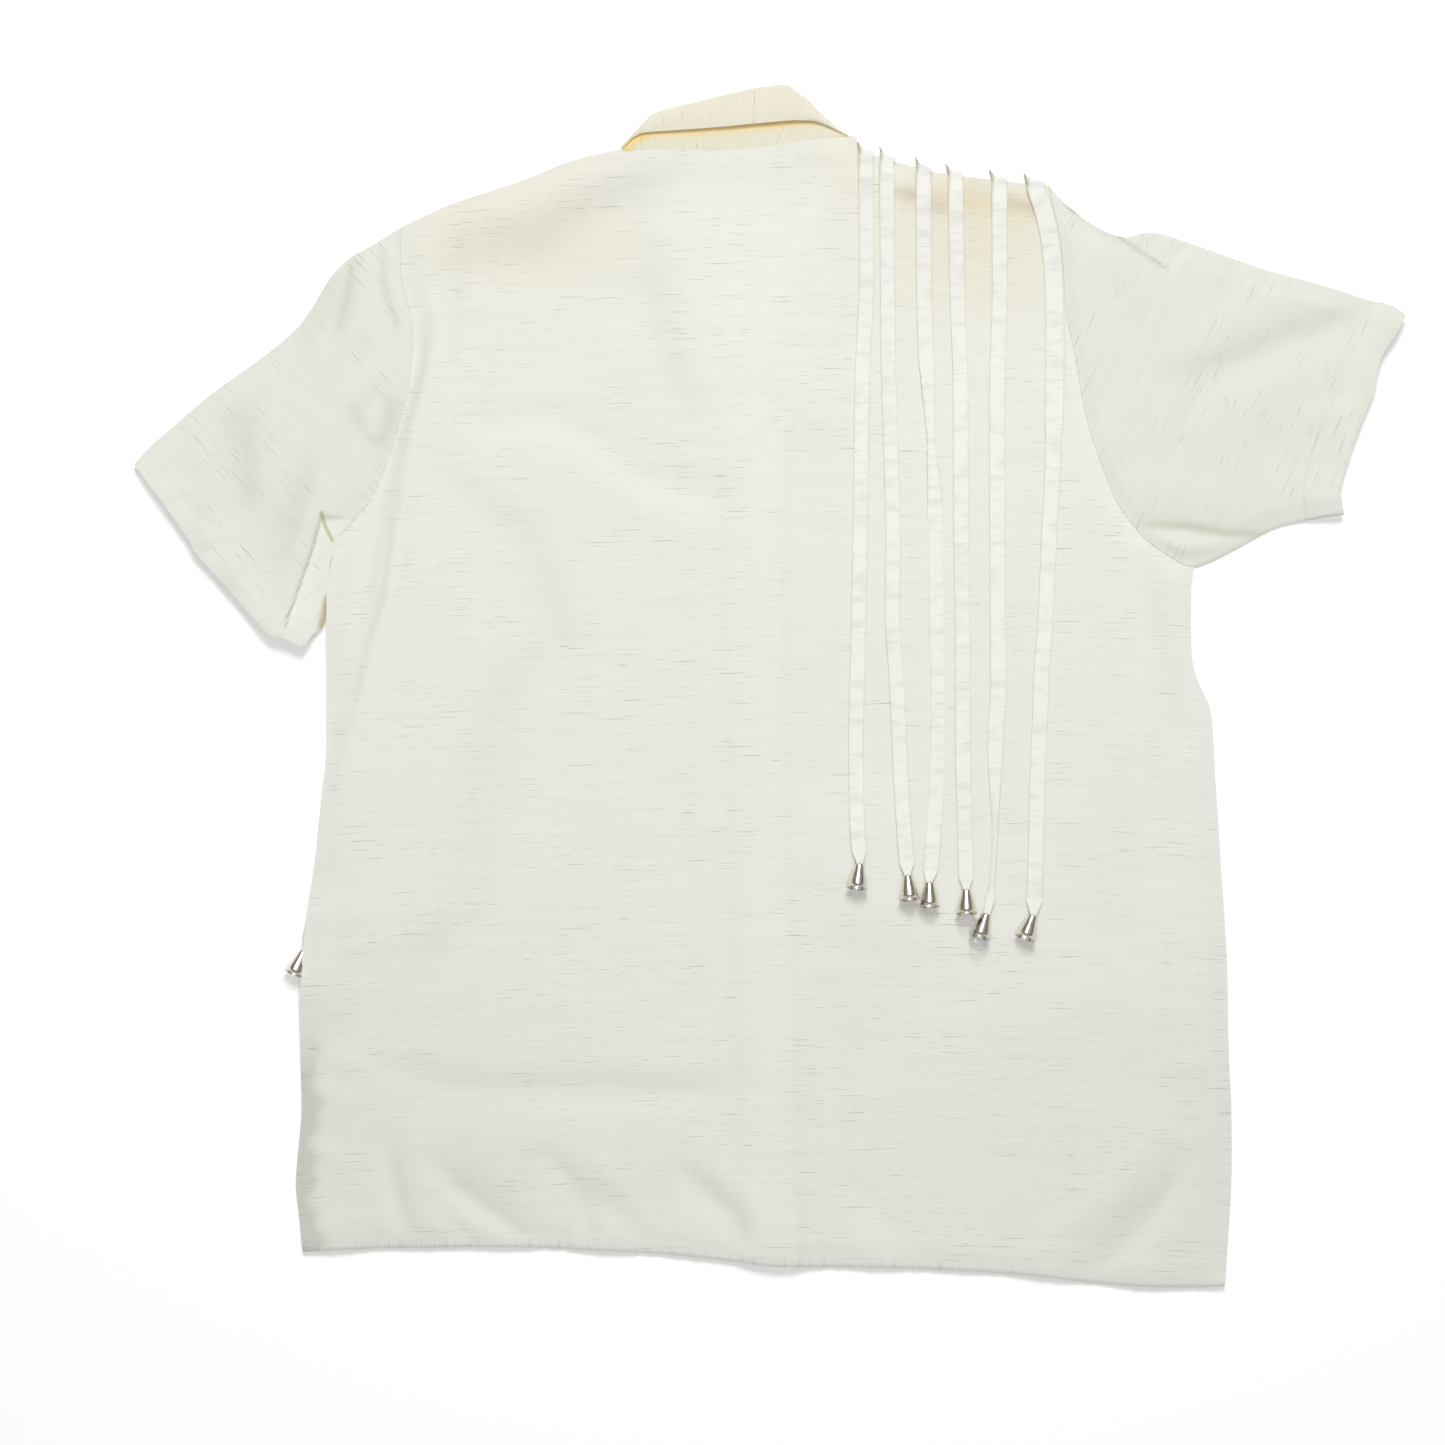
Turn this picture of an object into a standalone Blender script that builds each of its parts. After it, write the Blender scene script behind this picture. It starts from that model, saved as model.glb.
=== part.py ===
"""A boxy short-sleeve shirt, laid flat on its front, so that the back panel is up.

Metres, +Z up. The origin is the middle of the shirt's outline, on the surface that it lies on.
+Y runs from the hem to the collar and +X to the wearer's right. Outlines and tables are in
millimetres, as a pattern cutter writes them, and a mesh is scaled to metres when it is made.
"""
import math

import bmesh
import bpy
from mathutils import Vector
from mathutils.bvhtree import BVHTree

MM = 0.001

# Cloth and fit
CLOTH = 1.0
REST_GAP = 0.4
LAYER = CLOTH + REST_GAP
SEAM_GAP = 0.3
COLLAR_CLOTH = 1.2

# Body outline, every run from the hem upwards or from left to right
LEFT_SIDE = [(-328, -396), (-333, -345), (-330, -251), (-320, -127), (-312, -20), (-312, 58), (-306, 101)]
RIGHT_SIDE = [(317, -420), (322, -346), (320, -230), (314, -110), (308, -20), (296, 11), (294, 67), (296, 83)]
LEFT_ARMHOLE = [(-306, 101), (-278, 135), (-259, 190), (-252, 241), (-259, 284), (-260, 321)]
RIGHT_ARMHOLE = [(296, 83), (285, 87), (262, 103), (243, 127), (221, 186), (206, 266), (194, 350)]
LEFT_SHOULDER = [(-260, 321), (-197, 346), (-141, 367), (-101, 375)]
RIGHT_SHOULDER = [(59, 376), (86, 367), (134, 357), (194, 350)]
BACK_NECK = [(-101, 375), (-63, 376), (-28, 376), (2, 379), (30, 383), (59, 376)]
HEM = [(-328, -396), (-173, -393), (-85, -397), (5, -406), (126, -409), (251, -420), (317, -420)]

# The front opening: the placket's two edges where they cross the hem and the back neck
PLACKET_AT_HEM = (-18, 22)
PLACKET_AT_NECK = (-42, -4)
LEFT_NECKLINE = [(16, 180), (-4, 216), (-57, 263), (-82, 312), (-101, 375)]
RIGHT_NECKLINE = [(-34, 165), (-4, 216), (20, 284), (41, 326), (59, 376)]
NECKLINE_CATCH = 9.0

# How many steps of the common grid each run of the outline takes
SIDE_STEPS = 18
ARMHOLE_STEPS = 9
LEFT_SHOULDER_STEPS = 8
LEFT_NECK_STEPS = 3
PLACKET_STEPS = 2
RIGHT_NECK_STEPS = 3
RIGHT_SHOULDER_STEPS = 7
CELL_REACH = 40.0

# Sleeves: the upper edge from the shoulder, the edge under the arm, and the cuff between them
LEFT_SLEEVE_TOP = [(-260, 321), (-295, 300), (-323, 263), (-365, 224), (-407, 192), (-446, 155)]
LEFT_SLEEVE_UNDER = [(-306, 101), (-312, 86), (-315, 66), (-314, 48)]
LEFT_CUFF = [(-446, 155), (-407, 102), (-350, 36), (-327, 28), (-314, 48)]
RIGHT_SLEEVE_TOP = [(194, 350), (221, 325), (246, 314), (268, 316), (343, 292), (417, 270), (444, 259)]
RIGHT_SLEEVE_UNDER = [(296, 83), (325, 96), (360, 113), (400, 120)]
RIGHT_CUFF = [(444, 259), (424, 222), (404, 162), (397, 136), (400, 120)]
SLEEVE_STEPS = 8
SLEEVE_EDGE_INSET = 1.0
CUFF_HEM = 25.0
CUFF_HEM_RISE = 0.8

# Soft folds of the upper layer: from, to, half width and height of each ridge or trough
FOLD_COLUMNS = ("x0", "y0", "x1", "y1", "half_width", "height")
BACK_LOFT = 1.5
LOFT_RISE = 13.0
BACK_FOLDS = [
    (-236, 267, -261, 153, 16, 2.2),
    (-261, 153, -306, -59, 15, 2.0),
    (-232, 319, -120, 347, 22, -1.3),
    (-150, 300, -70, 330, 30, 1.4),
    (-204, 186, -36, 130, 24, -1.2),
    (-150, 150, -60, 175, 26, 1.5),
    (-232, 144, -152, 32, 26, -1.3),
    (-152, 32, -215, -164, 26, -1.4),
    (-215, -164, -262, -232, 26, -1.2),
    (-110, 40, -140, -150, 34, 1.4),
    (-264, -276, -22, -281, 20, -1.3),
    (-200, -318, -60, -320, 26, 1.2),
    (-264, -304, -253, -380, 14, 1.2),
    (-148, -332, -120, -384, 14, 1.2),
    (-57, -332, -22, -384, 14, 1.1),
    (279, -346, 226, -400, 20, -1.2),
    (236, -300, 190, -360, 30, 1.4),
    (265, 88, 290, -38, 18, -1.3),
    (232, 60, 250, -110, 30, 1.6),
    (20, 60, 40, -200, 40, 1.2),
]
SLEEVE_LOFT = 1.6
LEFT_SLEEVE_FOLDS = [
    (-295, 291, -309, 249, 14, -1.2),
    (-274, 200, -360, 60, 20, 1.4),
    (-372, 193, -376, 130, 14, -1.2),
    (-330, 240, -400, 120, 22, 1.3),
]
RIGHT_SLEEVE_FOLDS = [
    (221, 322, 300, 288, 12, 1.4),
    (405, 256, 300, 207, 20, -1.3),
    (300, 250, 390, 190, 24, 1.3),
    (265, 113, 328, 104, 12, -1.0),
]

# Collar: where the stand leaves the neck seam, where it folds, and where the fall ends
COLLAR_COLUMNS = ("seam_x", "seam_y", "fold_x", "fold_y", "fall_x", "fall_y", "loop")
COLLAR = [
    (-98, 376.0, -105, 378, -101, 380, 2.6),
    (-92, 376.2, -96, 388, -93, 384, 3.2),
    (-84, 376.4, -84, 400, -83, 388, 4.0),
    (-56, 376.6, -52, 409, -54, 389, 5.0),
    (-28, 376.8, -22, 416, -25, 391, 5.4),
    (2, 379.6, 10, 421, 6, 394, 5.4),
    (20, 382.6, 25, 413, 23, 395, 5.0),
    (38, 383.2, 40, 399, 39, 391, 4.0),
    (52, 379.8, 54, 386, 53, 384, 2.6),
]

# Front leaves of the collar, under the fronts: edge along the neckline, then outer edge
LEAF_LEFT = (
    [(-98, 366), (-78, 305), (-54, 262), (-28, 232)],
    [(-128, 364), (-122, 310), (-108, 262), (-84, 218)],
)
LEAF_RIGHT = (
    [(57, 366), (38, 320), (18, 276), (4, 240)],
    [(88, 361), (84, 310), (78, 262), (60, 218)],
)

# Straps: routes down the back from the right shoulder, and one under the left front
STRAP_WIDTH = 11.0
STRAP_END_WIDTH = 3.2
STRAP_TAPER = 12.0
STRAP_LOOP = 5.5
STRAP_STEP = 20.0
STRAP_ROUTES = {
    "strap_1": [(66, 300), (63, 214), (61, 46), (59, -30), (60, -101)],
    "strap_2": [(81, 300), (82, 214), (85, 102), (87, 13), (92, -94)],
    "strap_3": [(106, 300), (108, 221), (114, 128), (115, 46), (116, -30), (113, -115)],
    "strap_4": [(129, 300), (132, 214), (133, 46), (134, -55), (135, -115)],
    "strap_5": [(160, 300), (158, 214), (158, 102), (158, -3), (156, -108)],
    "strap_6": [(191, 325), (197, 285), (198, 214), (193, 92), (189, 13), (185, -129)],
}
STRAP_ROOTS = {"strap_1": 67, "strap_2": 81, "strap_3": 106, "strap_4": 128, "strap_5": 160, "strap_6": 184}
STRAP_TURNS = {"strap_3": (225, 130, 180), "strap_5": (-40, -100, 80)}
UNDER_STRAP_ROUTE = [(-196, 343), (-205, 250), (-228, 140), (-262, 20), (-296, -80), (-317, -150)]

# Bells: middle of the top end, middle of the mouth in plan, and how the drop hangs
BELL_COLUMNS = ("top_x", "top_y", "mouth_x", "mouth_y", "drop_width", "drop_proud", "drop_roll")
BELLS = {
    "1": (61.3, -125, 59.4, -141, 8.5, 1.5, 0),
    "2": (94.9, -133, 96.2, -149, 12.0, 5.0, 78),
    "3": (110.2, -138, 110.0, -154, 11.0, 5.0, 40),
    "4": (136.0, -143, 136.0, -159, 13.0, 8.5, 0),
    "5": (150.0, -160, 145.2, -175, 13.0, 8.5, 0),
    "6": (182.5, -161, 176.9, -176, 8.5, 1.5, 0),
    "7": (-327.6, -186.5, -333.8, -201.5, 8.5, 1.5, 0),
}
BELL_LENGTH = 16.6
BELL_WALL = 0.7
BELL_PROFILE = [(0.0, 2.9), (2.0, 3.1), (11.0, 4.9), (14.8, 5.8), (16.6, 6.7)]
BELL_SIDES = 14
STRAP_IN_BELL = 3.0
DROP_THICKNESS = 5.4
DROP_LENGTH = 12.5
DROP_STEM = 0.7
DROP_SIDES = 8
BELL_LIFT_PLACE = (-330, -190)
BELL_LIFT = 8.2
BELL_LIFT_FLAT = 24.0
BELL_LIFT_END = 66.0

# Buttons, closed under the placket
BUTTON_HEIGHTS = (186, 81, -24, -129, -234)
BUTTON_RADIUS = 5.5
BUTTON_THICKNESS = 2.0
BUTTON_RIM = 0.4
BUTTON_SIDES = 16

IVORY = (0.79, 0.79, 0.73, 1.0)
PALE_IVORY = (0.85, 0.85, 0.79, 1.0)
SILVER = (0.72, 0.71, 0.69, 1.0)
CLEAR = (0.92, 0.93, 0.93, 1.0)
PEARL = (0.86, 0.84, 0.78, 1.0)

shapes = {}


def smooth_line(points, per_span=12):
    """A fine line that runs smoothly through the given points."""
    ends = [Vector(points[0])] + [Vector(point) for point in points] + [Vector(points[-1])]
    line = []
    for before, start, end, after in zip(ends, ends[1:], ends[2:], ends[3:]):
        for step in range(per_span):
            t = step / per_span
            pull = (end - before) * 0.5
            push = (after - start) * 0.5
            line.append(
                start * (2 * t**3 - 3 * t**2 + 1) + pull * (t**3 - 2 * t**2 + t)
                + end * (3 * t**2 - 2 * t**3) + push * (t**3 - t**2)
            )
    return line + [ends[-1]]


def lengths_along(line):
    """The distance from the line's start at each of its points."""
    run = [0.0]
    for start, end in zip(line, line[1:]):
        run.append(run[-1] + (end - start).length)
    return run


def even_points(points, steps):
    """The given line, cut into equal steps."""
    line = smooth_line(points)
    run = lengths_along(line)
    cut = []
    span = 0
    for step in range(steps + 1):
        wanted = run[-1] * step / steps
        while span < len(line) - 2 and run[span + 1] < wanted:
            span += 1
        part = (wanted - run[span]) / max(run[span + 1] - run[span], 1e-9)
        cut.append(line[span].lerp(line[span + 1], min(part, 1.0)))
    return cut


def joined(*runs):
    """Runs laid end to end, with their shared corners kept once."""
    whole = list(runs[0])
    for run in runs[1:]:
        whole += run[1:]
    return whole


def shares(line):
    """How far along its line each point lies, from 0 to 1."""
    run = lengths_along(line)
    return [length / run[-1] for length in run]


def patch(first, last, left, right):
    """A grid of points in plan, between its first and last row and its two sides."""
    along = [(a + b) / 2 for a, b in zip(shares(first), shares(last))]
    up = [(a + b) / 2 for a, b in zip(shares(left), shares(right))]
    rows = []
    for j, v in enumerate(up):
        row = []
        for i, u in enumerate(along):
            ruled = first[i] * (1 - v) + last[i] * v + left[j] * (1 - u) + right[j] * u
            corners = (
                first[0] * (1 - u) * (1 - v) + first[-1] * u * (1 - v)
                + last[0] * (1 - u) * v + last[-1] * u * v
            )
            row.append(ruled - corners)
        rows.append(row)
    return rows


def ease(value):
    """0 below 0, 1 above 1 and a soft step between."""
    value = min(max(value, 0.0), 1.0)
    return value * value * (3 - 2 * value)


def fold_height(folds, x, y):
    """The sum of the folds at a place: soft ridges and troughs that die out past their ends."""
    total = 0.0
    for row in folds:
        fold = dict(zip(FOLD_COLUMNS, row))
        start = Vector((fold["x0"], fold["y0"]))
        along = Vector((fold["x1"], fold["y1"])) - start
        offset = Vector((x, y)) - start
        part = min(max(offset.dot(along) / along.length_squared, 0.0), 1.0)
        distance = (offset - along * part).length / fold["half_width"]
        total += fold["height"] * math.exp(-distance * distance)
    return total


def grid_triangles(rows, columns, ring=False):
    """Two triangles for each cell of a grid, which closes on itself where it is a ring."""
    triangles = []
    for j in range(rows - 1):
        for i in range(columns if ring else columns - 1):
            near = (i + 1) % columns
            a = j * columns + i
            b = j * columns + near
            c = (j + 1) * columns + near
            d = (j + 1) * columns + i
            triangles += [(a, b, c), (a, c, d)]
    return triangles


def strip_triangles(ranges, columns):
    """Triangles between rows that each hold their own range of a grid's columns."""
    triangles = []
    for j, ((first, last), (next_first, next_last)) in enumerate(zip(ranges, ranges[1:])):
        near = j * columns
        far = near + columns
        low = max(first, next_first)
        high = min(last, next_last)
        triangles += [(near + i, near + i + 1, far + low) for i in range(first, low)]
        triangles += [(near + low, far + i + 1, far + i) for i in range(next_first, low)]
        for i in range(low, high):
            triangles += [(near + i, near + i + 1, far + i + 1), (near + i, far + i + 1, far + i)]
        triangles += [(near + i, near + i + 1, far + high) for i in range(high, last)]
        triangles += [(near + high, far + i + 1, far + i) for i in range(high, next_last)]
    return triangles


def close_wall(upper, lower, triangles):
    """The points and faces of a wall: the same triangles on both faces, joined at the edges."""
    used = sorted({corner for triangle in triangles for corner in triangle})
    place = {corner: number for number, corner in enumerate(used)}
    count = len(used)
    points = [upper[corner] for corner in used] + [lower[corner] for corner in used]
    kept = [tuple(place[corner] for corner in triangle) for triangle in triangles]
    faces = kept + [(c + count, b + count, a + count) for a, b, c in kept]
    sides = {pair for a, b, c in kept for pair in ((a, b), (b, c), (c, a))}
    for start, end in sorted(sides):
        if (end, start) not in sides:
            faces += [(end, start, start + count), (end, start + count, end + count)]
    return points, faces


def material(name, colour, roughness, metallic=0.0, transmission=0.0):
    finish = bpy.data.materials.new(name)
    finish.use_nodes = True
    shader = finish.node_tree.nodes["Principled BSDF"]
    shader.inputs["Base Color"].default_value = colour
    shader.inputs["Roughness"].default_value = roughness
    shader.inputs["Metallic"].default_value = metallic
    shader.inputs["Transmission Weight"].default_value = transmission
    return finish


def add_piece(name, points, faces, finish, smooth=True):
    """One named object, its faces turned outwards, and its shape kept for what lies on it."""
    shapes[name] = (points, faces)
    mesh = bpy.data.meshes.new(name)
    mesh.from_pydata([Vector(point) * MM for point in points], [], faces)
    cleaner = bmesh.new()
    cleaner.from_mesh(mesh)
    bmesh.ops.recalc_face_normals(cleaner, faces=cleaner.faces)
    cleaner.to_mesh(mesh)
    cleaner.free()
    if smooth:
        mesh.shade_smooth()
        mesh.set_sharp_from_angle(angle=math.radians(40))
    mesh.materials.append(finish)
    piece = bpy.data.objects.new(name, mesh)
    bpy.context.scene.collection.objects.link(piece)
    return piece


def tree_of(*names):
    """What lies in a pile so far, ready to be felt from above."""
    points = []
    faces = []
    for name in names:
        start = len(points)
        points += [Vector(point) for point in shapes[name][0]]
        faces += [tuple(corner + start for corner in face) for face in shapes[name][1]]
    return BVHTree.FromPolygons(points, faces)


def top_of_pile(tree, x, y, reach, step=4.0):
    """The highest point of the pile within reach of a place, or 0 on the bare surface."""
    top = 0.0
    count = math.ceil(reach / step)
    for across in range(-count, count + 1):
        for up in range(-count, count + 1):
            if math.hypot(across, up) * step <= reach:
                start = Vector((x + across * step, y + up * step, 100.0))
                hit = tree.ray_cast(start, Vector((0, 0, -1)))[0]
                if hit:
                    top = max(top, hit.z)
    return top


def ribbon(path, widths, rolls, slants, thickness):
    """Both faces of a flat ribbon along a path, with its width, roll and slant at each point."""
    upper = []
    lower = []
    for number, point in enumerate(path):
        ahead = path[min(number + 1, len(path) - 1)]
        behind = path[max(number - 1, 0)]
        along = (ahead - behind).normalized()
        level = Vector((math.cos(slants[number]), math.sin(slants[number]), 0.0))
        level = (level - along * level.dot(along)).normalized()
        roll = math.radians(rolls[number])
        rise = level.cross(along).normalized()
        across = level * math.cos(roll) + rise * math.sin(roll)
        normal = across.cross(along).normalized()
        for side in (-0.5, 0.5):
            upper.append(point + across * side * widths[number] + normal * thickness / 2)
            lower.append(point + across * side * widths[number] - normal * thickness / 2)
    return upper, lower


def bell_frame(name):
    """The middle of a bell's top end in plan and the level way from there to its mouth."""
    bell = dict(zip(BELL_COLUMNS, BELLS[name]))
    top = Vector((bell["top_x"], bell["top_y"]))
    heading = (Vector((bell["mouth_x"], bell["mouth_y"])) - top).normalized()
    return bell, top, heading


def bell_axis(name, rest):
    """A lying bell's top end and axis: it leans on its side, so its mouth end is higher."""
    bell, top, heading = bell_frame(name)
    top_radius = BELL_PROFILE[0][1]
    mouth_radius = BELL_PROFILE[-1][1]
    lean = math.asin((mouth_radius - top_radius) / BELL_LENGTH)
    start = Vector((top.x, top.y, rest + top_radius * math.cos(lean)))
    axis = Vector((heading.x * math.cos(lean), heading.y * math.cos(lean), math.sin(lean)))
    return start, axis


def make_bell(name, rest, finish):
    """A cone of sheet metal with a flared lip, open at its mouth and at its neck."""
    start, axis = bell_axis(name, rest)
    level = Vector((-axis.y, axis.x, 0.0)).normalized()
    rise = axis.cross(level)
    outer = []
    inner = []
    for distance, radius in BELL_PROFILE:
        centre = start + axis * distance
        for side in range(BELL_SIDES):
            turn = 2 * math.pi * side / BELL_SIDES
            way = rise * math.cos(turn) + level * math.sin(turn)
            outer.append(centre + way * radius)
            inner.append(centre + way * (radius - BELL_WALL))
    triangles = grid_triangles(len(BELL_PROFILE), BELL_SIDES, ring=True)
    points, faces = close_wall(outer, inner, triangles)
    add_piece("bell_" + name, points, faces, finish)


def make_drop(name, rest, finish):
    """A clear flat drop on its stem, hung from the strap's end inside the bell."""
    start, axis = bell_axis(name, rest)
    bell = bell_frame(name)[0]
    roll = math.radians(bell["drop_roll"])
    level = Vector((-axis.y, axis.x, 0.0)).normalized()
    rise = axis.cross(level)
    wide = level * math.cos(roll) + rise * math.sin(roll)
    thick = axis.cross(wide)
    first = STRAP_IN_BELL + SEAM_GAP
    end = BELL_LENGTH + bell["drop_proud"]
    neck = end - DROP_LENGTH
    half_width = bell["drop_width"] / 2
    half_thick = min(DROP_THICKNESS / 2, half_width * 0.7)
    sections = [(first, DROP_STEM, DROP_STEM), (neck, DROP_STEM, DROP_STEM)]
    for part, share in ((0.3, 0.55), (0.6, 1.0), (0.82, 0.86), (1.0, 0.3)):
        sections.append((neck + DROP_LENGTH * part, half_width * share, half_thick * share))
    points = []
    for distance, across, through in sections:
        for side in range(DROP_SIDES):
            turn = 2 * math.pi * (side + 0.5) / DROP_SIDES
            offset = wide * math.cos(turn) * across + thick * math.sin(turn) * through
            points.append(start + axis * distance + offset)
    faces = grid_triangles(len(sections), DROP_SIDES, ring=True)
    last = len(points) - DROP_SIDES
    for side in range(1, DROP_SIDES - 1):
        faces.append((0, side + 1, side))
        faces.append((last, last + side, last + side + 1))
    add_piece("drop_" + name, points, faces, finish, smooth=False)


def make_sleeve(name, armhole, top_edge, under_edge, cuff, outwards, tucked, folds, finish):
    """A sleeve as it lies: a flattened tube of cloth, open at the armhole and at the cuff.

    The last steps of the armhole, as many as are tucked, run on into the edge under the arm.
    """
    seam = even_points(list(reversed(armhole)), ARMHOLE_STEPS)
    moved = []
    for number, point in enumerate(seam):
        along = seam[min(number + 1, len(seam) - 1)] - seam[max(number - 1, 0)]
        normal = Vector((along.y, -along.x)).normalized() * outwards
        moved.append(point + normal * SEAM_GAP)
    head_steps = ARMHOLE_STEPS - tucked
    top = even_points([moved[0]] + top_edge[1:], SLEEVE_STEPS)
    under = joined(moved[head_steps:], even_points([moved[-1]] + under_edge[1:], SLEEVE_STEPS - tucked))
    plan = patch(moved[:head_steps + 1], even_points(cuff, head_steps), top, under)
    share_of_hem = CUFF_HEM / lengths_along(top)[-1]
    outer = []
    inner = []
    columns = head_steps + 1
    for j, row in enumerate(plan):
        v = j / SLEEVE_STEPS
        rises = []
        for i, point in enumerate(row):
            u = i / head_steps
            fade = math.sqrt(4 * u * (1 - u)) * ease(v * 4)
            rises.append(LAYER + fade * max(SLEEVE_LOFT + fold_height(folds, point.x, point.y), 0.0))
        hem = CUFF_HEM_RISE if v > 1 - share_of_hem else 0.0
        first_in = (row[1] - row[0]).normalized() * SLEEVE_EDGE_INSET
        last_in = (row[-2] - row[-1]).normalized() * SLEEVE_EDGE_INSET
        near = [row[0] + first_in] + row[1:-1] + [row[-1] + last_in]
        deep = [row[0] + first_in * 1.6] + row[1:-1] + [row[-1] + last_in * 1.6]
        middle = (LAYER + CLOTH) / 2
        outer += [(*near[i], rises[i] + CLOTH + hem) for i in range(columns)]
        outer.append((*row[-1], middle))
        outer += [(*near[i], 0.0) for i in reversed(range(columns))]
        outer.append((*row[0], middle))
        inner += [(*deep[i], rises[i]) for i in range(columns)]
        inner.append((*(row[-1] + last_in * 1.2), middle))
        inner += [(*deep[i], CLOTH) for i in reversed(range(columns))]
        inner.append((*(row[0] + first_in * 1.2), middle))
    triangles = grid_triangles(len(plan), 2 * columns + 2, ring=True)
    points, faces = close_wall(outer, inner, triangles)
    add_piece(name, points, faces, finish)


def make_leaf(name, edges, finish):
    """A plain front leaf of the collar, flat on the surface under its front panel."""
    inner_edge = even_points(edges[0], 4)
    outer_edge = even_points(edges[1], 4)
    upper = []
    lower = []
    for near, far in zip(inner_edge, outer_edge):
        for part in (0.0, 0.5, 1.0):
            place = near.lerp(far, part)
            upper.append((*place, CLOTH))
            lower.append((*place, 0.0))
    points, faces = close_wall(upper, lower, grid_triangles(5, 3))
    add_piece(name, points, faces, finish)


def placket_middle(y):
    """The placket's middle line at a height."""
    hem = sum(PLACKET_AT_HEM) / 2
    neck = sum(PLACKET_AT_NECK) / 2
    part = (y - HEM[3][1]) / (BACK_NECK[2][1] - HEM[3][1])
    return hem + (neck - hem) * part


def make_button(number, y, finish):
    """A round button with a softened rim, flat on the surface under the placket."""
    maker = bmesh.new()
    bmesh.ops.create_cone(
        maker, cap_ends=True, segments=BUTTON_SIDES,
        radius1=BUTTON_RADIUS, radius2=BUTTON_RADIUS, depth=BUTTON_THICKNESS,
    )
    rim = [edge for edge in maker.edges if abs(edge.verts[0].co.z - edge.verts[1].co.z) < 0.1]
    bmesh.ops.bevel(maker, geom=rim, offset=BUTTON_RIM, segments=1, affect="EDGES")
    bmesh.ops.triangulate(maker, faces=maker.faces)
    centre = Vector((placket_middle(y), y, BUTTON_THICKNESS / 2))
    points = [vertex.co + centre for vertex in maker.verts]
    faces = [tuple(vertex.index for vertex in face.verts) for face in maker.faces]
    maker.free()
    add_piece(f"button_{number}", points, faces, finish)


def body_plan():
    """The grid of points that the back and both fronts share, in plan, its placket straight."""
    hem_run = even_points(HEM, 200)
    neck_run = even_points(BACK_NECK, 120)
    hem_cuts = [min(range(201), key=lambda n: abs(hem_run[n].x - x)) for x in PLACKET_AT_HEM]
    neck_cuts = [min(range(121), key=lambda n: abs(neck_run[n].x - x)) for x in PLACKET_AT_NECK]
    left_steps = LEFT_SHOULDER_STEPS + LEFT_NECK_STEPS
    right_steps = RIGHT_NECK_STEPS + RIGHT_SHOULDER_STEPS
    hem = joined(
        even_points(hem_run[:hem_cuts[0] + 1], left_steps),
        even_points(hem_run[hem_cuts[0]:hem_cuts[1] + 1], PLACKET_STEPS),
        even_points(hem_run[hem_cuts[1]:], right_steps),
    )
    top = joined(
        even_points(LEFT_SHOULDER, LEFT_SHOULDER_STEPS),
        even_points(neck_run[:neck_cuts[0] + 1], LEFT_NECK_STEPS),
        even_points(neck_run[neck_cuts[0]:neck_cuts[1] + 1], PLACKET_STEPS),
        even_points(neck_run[neck_cuts[1]:], RIGHT_NECK_STEPS),
        even_points(RIGHT_SHOULDER, RIGHT_SHOULDER_STEPS),
    )
    left = joined(even_points(LEFT_SIDE, SIDE_STEPS), even_points(LEFT_ARMHOLE, ARMHOLE_STEPS))
    right = joined(even_points(RIGHT_SIDE, SIDE_STEPS), even_points(RIGHT_ARMHOLE, ARMHOLE_STEPS))
    plan = patch(hem, top, left, right)
    middle = left_steps + PLACKET_STEPS // 2
    last = len(hem) - 1
    for row in plan[1:-1]:
        shift = placket_middle(row[middle].y) - row[middle].x
        for i in range(1, last):
            share = i / middle if i <= middle else (last - i) / (last - middle)
            row[i] = row[i] + Vector((shift * share, 0.0))
    return plan


def line_at_height(points, y):
    """Where a line that runs upwards crosses a height, or its nearer end past its ends."""
    line = smooth_line(points)
    for start, end in zip(line, line[1:]):
        if start.y <= y <= end.y and end.y > start.y:
            return start.lerp(end, (y - start.y) / (end.y - start.y)).x
    return line[0].x if y < line[0].y else line[-1].x


def bell_lift(x, y):
    """How far the side of the body rises over the bell that lies under it."""
    distance = math.hypot(x - BELL_LIFT_PLACE[0], y - BELL_LIFT_PLACE[1])
    return BELL_LIFT * (1 - ease((distance - BELL_LIFT_FLAT) / (BELL_LIFT_END - BELL_LIFT_FLAT)))


def front_ranges(plan):
    """The columns that each front keeps in each row, and the points moved onto its neckline."""
    middle = LEFT_SHOULDER_STEPS + LEFT_NECK_STEPS
    last_column = len(plan[0]) - 1
    ranges = {"front_left": [], "front_right": []}
    moved = {"front_left": {}, "front_right": {}}
    for j, row in enumerate(plan):
        last = middle + PLACKET_STEPS
        first = middle
        if row[middle].y > LEFT_NECKLINE[0][1]:
            last = max(
                i for i in range(last + 1)
                if i <= LEFT_SHOULDER_STEPS
                or row[i].x < line_at_height(LEFT_NECKLINE, row[i].y) + NECKLINE_CATCH
            )
            x = line_at_height(LEFT_NECKLINE, row[last].y)
            moved["front_left"][(j, last)] = Vector((x, row[last].y))
        if row[middle].y > RIGHT_NECKLINE[0][1]:
            far = last_column - RIGHT_SHOULDER_STEPS
            first = min(
                i for i in range(first, last_column)
                if i >= far
                or row[i].x > line_at_height(RIGHT_NECKLINE, row[i].y) - NECKLINE_CATCH
            )
            x = line_at_height(RIGHT_NECKLINE, row[first].y)
            moved["front_right"][(j, first)] = Vector((x, row[first].y))
        ranges["front_left"].append((0, last))
        ranges["front_right"].append((first, last_column))
    return ranges, moved


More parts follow.
